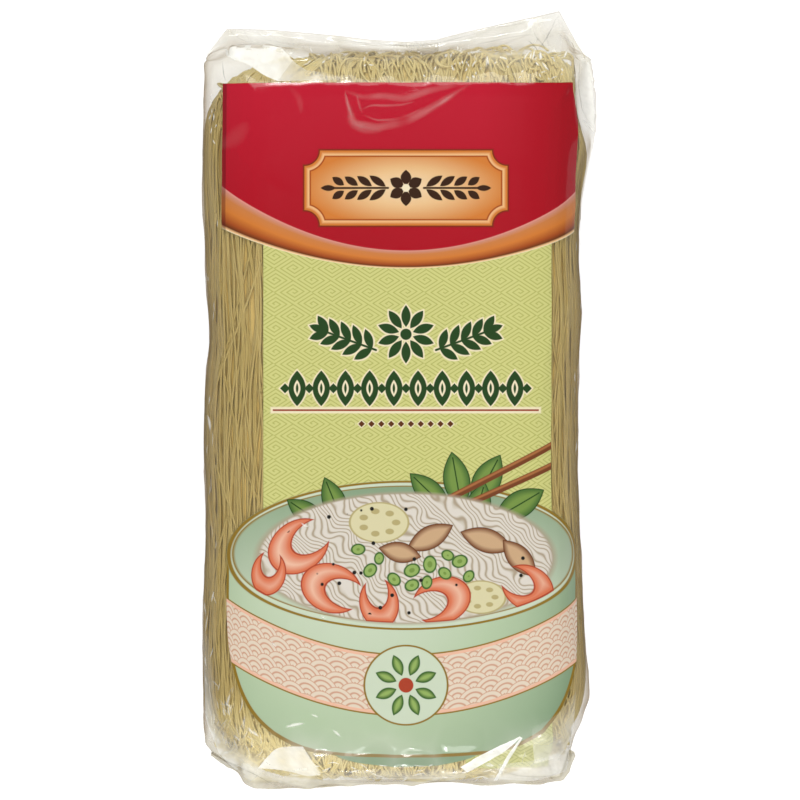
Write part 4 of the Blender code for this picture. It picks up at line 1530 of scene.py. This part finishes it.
    # plaque with notched corners, and a blossom between leaves
    plaqueX, plaqueY = 34.0, 12.6
    awayX = maths(tree, "SUBTRACT", either, plaqueX)
    awayY = maths(tree, "SUBTRACT", maths(tree, "ABSOLUTE", maths(tree, "SUBTRACT", y, v["plaqueY"])), plaqueY)
    corner = maths(tree, "SQRT", maths(tree, "MULTIPLY_ADD", awayX, awayX, maths(tree, "MULTIPLY", awayY, awayY)))
    plaque = both(awayX, awayY, maths(tree, "SUBTRACT", 5.2, corner))
    glow = shape("oval", x, y, (0.0, v["plaqueY"]), (34.0, 13.0))
    plaqueFill = colourRamp(tree, maths(tree, "MULTIPLY_ADD", glow, 0.075, 1.0, clamp=True), [
        (0.0, rgb(244, 218, 178)), (0.45, rgb(238, 196, 142)), (0.85, rgb(220, 148, 84)), (1.0, inks["orange"])])
    headerColour = paint(headerColour, grow(plaque, 0.5), rgb(120, 40, 16), 0.6)
    headerColour = paint(headerColour, plaque, inks["orange"])
    headerColour = paint(headerColour, grow(plaque, -0.9), inks["orangePale"], 0.8)
    headerColour = paint(headerColour, grow(plaque, -1.7), inks["orangeDeep"])
    headerColour = mixColour(tree, mask(grow(plaque, -2.2)), headerColour, plaqueFill)
    sprig = shape("stick", either, y, (15.0, v["plaqueY"]), (9.0, 0.35))
    for index in range(4):
        for side in (-1, 1):
            turn = side * 34
            leafX = 9.5 + 4.4 * index
            leaf = shape("leaf", either, y, (leafX, v["plaqueY"] + side * 2.3), (3.3 - 0.3 * index, 1.25), turn)
            sprig = union(sprig, leaf)
    sprig = union(sprig, shape("leaf", either, y, (26.0, v["plaqueY"]), (2.6, 1.0)))
    blossom = petals(0.0, v["plaqueY"], 6, 0.9, 5.2, 3.6)
    headerColour = paint(headerColour, union(sprig, blossom), rgb(58, 34, 18))
    heart = shape("oval", x, y, (0.0, v["plaqueY"]), (1.3, 1.3))
    headerColour = paint(headerColour, heart, inks["cream"])
    colour = mixColour(tree, mask(header), colour, headerColour)

    # darker strip along the header's left edge
    strip = both(header, maths(tree, "SUBTRACT", x, v["left"] + 1.7))
    colour = mixColour(tree, maths(tree, "MULTIPLY", mask(strip, 0.4), 0.55), colour, rgb(92, 10, 18))

    # painted sheen: the print is washed pale where the film over it is painted milky, at the bottom end only
    hazeSheenShare = tree.nodes.new("ShaderNodeAttribute")
    hazeSheenShare.attribute_name = "hazeAndSheen"
    colour = mixColour(tree, maths(tree, "MULTIPLY", hazeSheenShare.outputs["Fac"], 0.9), colour, rgb(240, 238, 226))
    colour = mixColour(tree, v["inkLoss"], colour, (0, 0, 0, 1))
    shader = tree.nodes.new("ShaderNodeBsdfPrincipled")
    tree.links.new(colour, shader.inputs["Base Color"])
    shader.inputs["Roughness"].default_value = 0.5
    shader.inputs["Specular IOR Level"].default_value = 0.0
    shader.inputs["Coat Weight"].default_value = 1.0
    shader.inputs["Coat Roughness"].default_value = filmLook["roughness"]
    shader.inputs["Coat IOR"].default_value = 1.5
    bump = filmBump(tree)
    tree.links.new(bump, shader.inputs["Coat Normal"])
    clear = tree.nodes.new("ShaderNodeBsdfTransparent")
    mixed = tree.nodes.new("ShaderNodeMixShader")
    tree.links.new(mask(union(header, panel, bowl)), mixed.inputs[0])
    tree.links.new(clear.outputs[0], mixed.inputs[1])
    tree.links.new(shader.outputs[0], mixed.inputs[2])
    tree.links.new(mixed.outputs[0], output.inputs["Surface"])
    return material


# ---------- camera, light and floor ----------

viewValues = {"distance": 2.0, "width": 270.3 * mm, "sensor": 36.0}


def addCamera():
    v = viewValues
    camera = bpy.data.cameras.new("camera")
    camera.sensor_width = v["sensor"]
    camera.lens = v["sensor"] * v["distance"] / v["width"]
    camera.clip_end = 20.0
    holder = bpy.data.objects.new("camera", camera)
    holder.location = (0.0, 0.0, v["distance"] + 0.018)
    bpy.context.scene.collection.objects.link(holder)
    bpy.context.scene.camera = holder


def addLight(name, place, size, radiance, mirrored=True):
    # radiance is how bright the panel looks, so its power grows with its size
    light = bpy.data.lights.new(name, "AREA")
    light.shape = "RECTANGLE"
    light.size, light.size_y = size
    light.energy = radiance * math.pi * size[0] * size[1]
    holder = bpy.data.objects.new(name, light)
    holder.location = place
    holder.rotation_euler = (-Vector(place)).to_track_quat("-Z", "Y").to_euler()
    holder.visible_glossy = mirrored
    bpy.context.scene.collection.objects.link(holder)


floorValues = {"halfSize": 3.0, "drop": 0.2 * mm, "white": 0.50, "glow": 0.72, "bounce": 0.06}


def addFloor():
    # a white table, lit a little from below where it is looked at, so that it casts less light back
    v = floorValues
    sheet = bmesh.new()
    bmesh.ops.create_grid(sheet, x_segments=1, y_segments=1, size=v["halfSize"])
    bmesh.ops.translate(sheet, verts=sheet.verts[:], vec=(0.0, 0.0, packLow.z - v["drop"]))
    mesh = bpy.data.meshes.new("floor")
    sheet.to_mesh(mesh)
    sheet.free()
    floor = linkPiece("floor", mesh)
    material, tree, output = newMaterial("paleFloor")
    shader = tree.nodes.new("ShaderNodeBsdfPrincipled")
    shader.inputs["Base Color"].default_value = (v["white"], v["white"], v["white"], 1)
    shader.inputs["Roughness"].default_value = 0.9
    shader.inputs["Specular IOR Level"].default_value = 0.1
    shader.inputs["Emission Color"].default_value = (1, 1, 1, 1)
    rays = tree.nodes.new("ShaderNodeLightPath")
    glow = maths(tree, "MULTIPLY_ADD", rays.outputs["Is Camera Ray"], v["glow"] - v["bounce"], v["bounce"])
    tree.links.new(glow, shader.inputs["Emission Strength"])
    tree.links.new(shader.outputs[0], output.inputs["Surface"])
    mesh.materials.append(material)


def addWorld():
    world = bpy.data.worlds.new("studio")
    world.use_nodes = True
    background = world.node_tree.nodes["Background"]
    background.inputs["Color"].default_value = (1.0, 1.0, 1.0, 1)
    background.inputs["Strength"].default_value = 0.22
    bpy.context.scene.world = world


# ---------- build ----------

addCamera()
addWorld()
addFloor()
addLight("overheadFill", (0.0, 0.0, 2.3), (1.3, 1.3), 3.1, mirrored=False)
addLight("topFill", (0.0, 1.5, 1.0), (1.0, 0.8), 2.8, mirrored=False)
addLight("bottomFill", (0.0, -1.5, 1.0), (1.0, 0.8), 3.9, mirrored=False)
addLight("leftFill", (-1.4, 0.1, 1.2), (0.8, 1.0), 0.6, mirrored=False)
addLight("rightFill", (1.4, 0.1, 1.2), (0.8, 1.0), 1.0, mirrored=False)
addLight("topPanel", (-0.2, 0.98, 1.15), (1.0, 0.45), 3.0)
addLight("topHotSpot", (-0.25, 0.90, 1.12), (0.30, 0.18), 13.0)
addLight("bottomPanel", (0.25, -0.95, 1.05), (0.55, 0.30), 4.0)
addLight("bottomHotSpot", (0.2, -0.85, 1.05), (0.14, 0.10), 16.0)
bpy.context.scene.view_settings.view_transform = "Standard"

points, around, length = filmSheet()
relief, normals, hazeAndSheen, empty = filmRelief(points, around, length)
filmPoints = points + normals * relief[..., None]
film = gridPiece("clearFilm", filmPoints, around, length, {"hazeAndSheen": hazeAndSheen, "empty": empty})
rideRoot(film, clearFilm())
filmTree = BVHTree.FromPolygons([v.co for v in film.data.vertices], [p.vertices for p in film.data.polygons])
print("film:", len(film.data.polygons), "faces")

printLift = 0.05 * mm
v = printValues
printed = (around / mm > v["left"] + v["middle"] - 1) & (around / mm < v["right"] + v["middle"] + 3)
printed &= (length / mm > v["bottom"] - 3) & (length / mm < v["top"] + 1)
printPoints = filmPoints + sheetNormals(filmPoints) * printLift
inkPiece = gridPiece("printedFilm", printPoints, around, length, {"hazeAndSheen": hazeAndSheen * (length < 0)}, keep=printed)
rideRoot(inkPiece, printedFilm())
print("print:", len(inkPiece.data.polygons), "faces")
foldSheenLook = foldedFilmSheen()
frontStrips = filmStrips + scatteredGlints(31)
rideRoot(foldsPiece("filmFoldsAndSheen", 0.28 * mm, filmFacets, frontStrips, filmLines), foldSheenLook)
rideRoot(foldsPiece("backSeam", 0.05 * mm, backFacets, [], backLines, True), foldSheenLook)

noodleLook = driedNoodle("driedNoodle", rgb(178, 155, 86), rgb(201, 180, 116), 0.6)
coreLook = driedNoodle("noodleCore", rgb(206, 176, 96), rgb(222, 194, 116), 0.0)
rideRoot(corePiece(), coreLook)
for name, strands, seed in (
    ("noodleTopLoops", endLoops(True, 11), 21),
    ("noodleBottomLoops", endLoops(False, 12), 22),
    ("noodleRightSide", sideStrands(0.135, 0.365, 13), 23),
    ("noodleLeftSide", sideStrands(0.635, 0.875, 14), 24),
    ("noodleBack", sideStrands(0.345, 0.655, 15, 2), 25),
    ("noodleStrays", strayStrands(17), 27),
    ("noodleCurls", strayCurls(16), 26),
):
    piece = strandPiece(name, keepInside(strands, 0.55 * mm), np.random.default_rng(seed))
    rideRoot(piece, noodleLook)
    piece.data.calc_loop_triangles()
    print(name, len(strands), "strands,", len(piece.data.loop_triangles), "triangles")
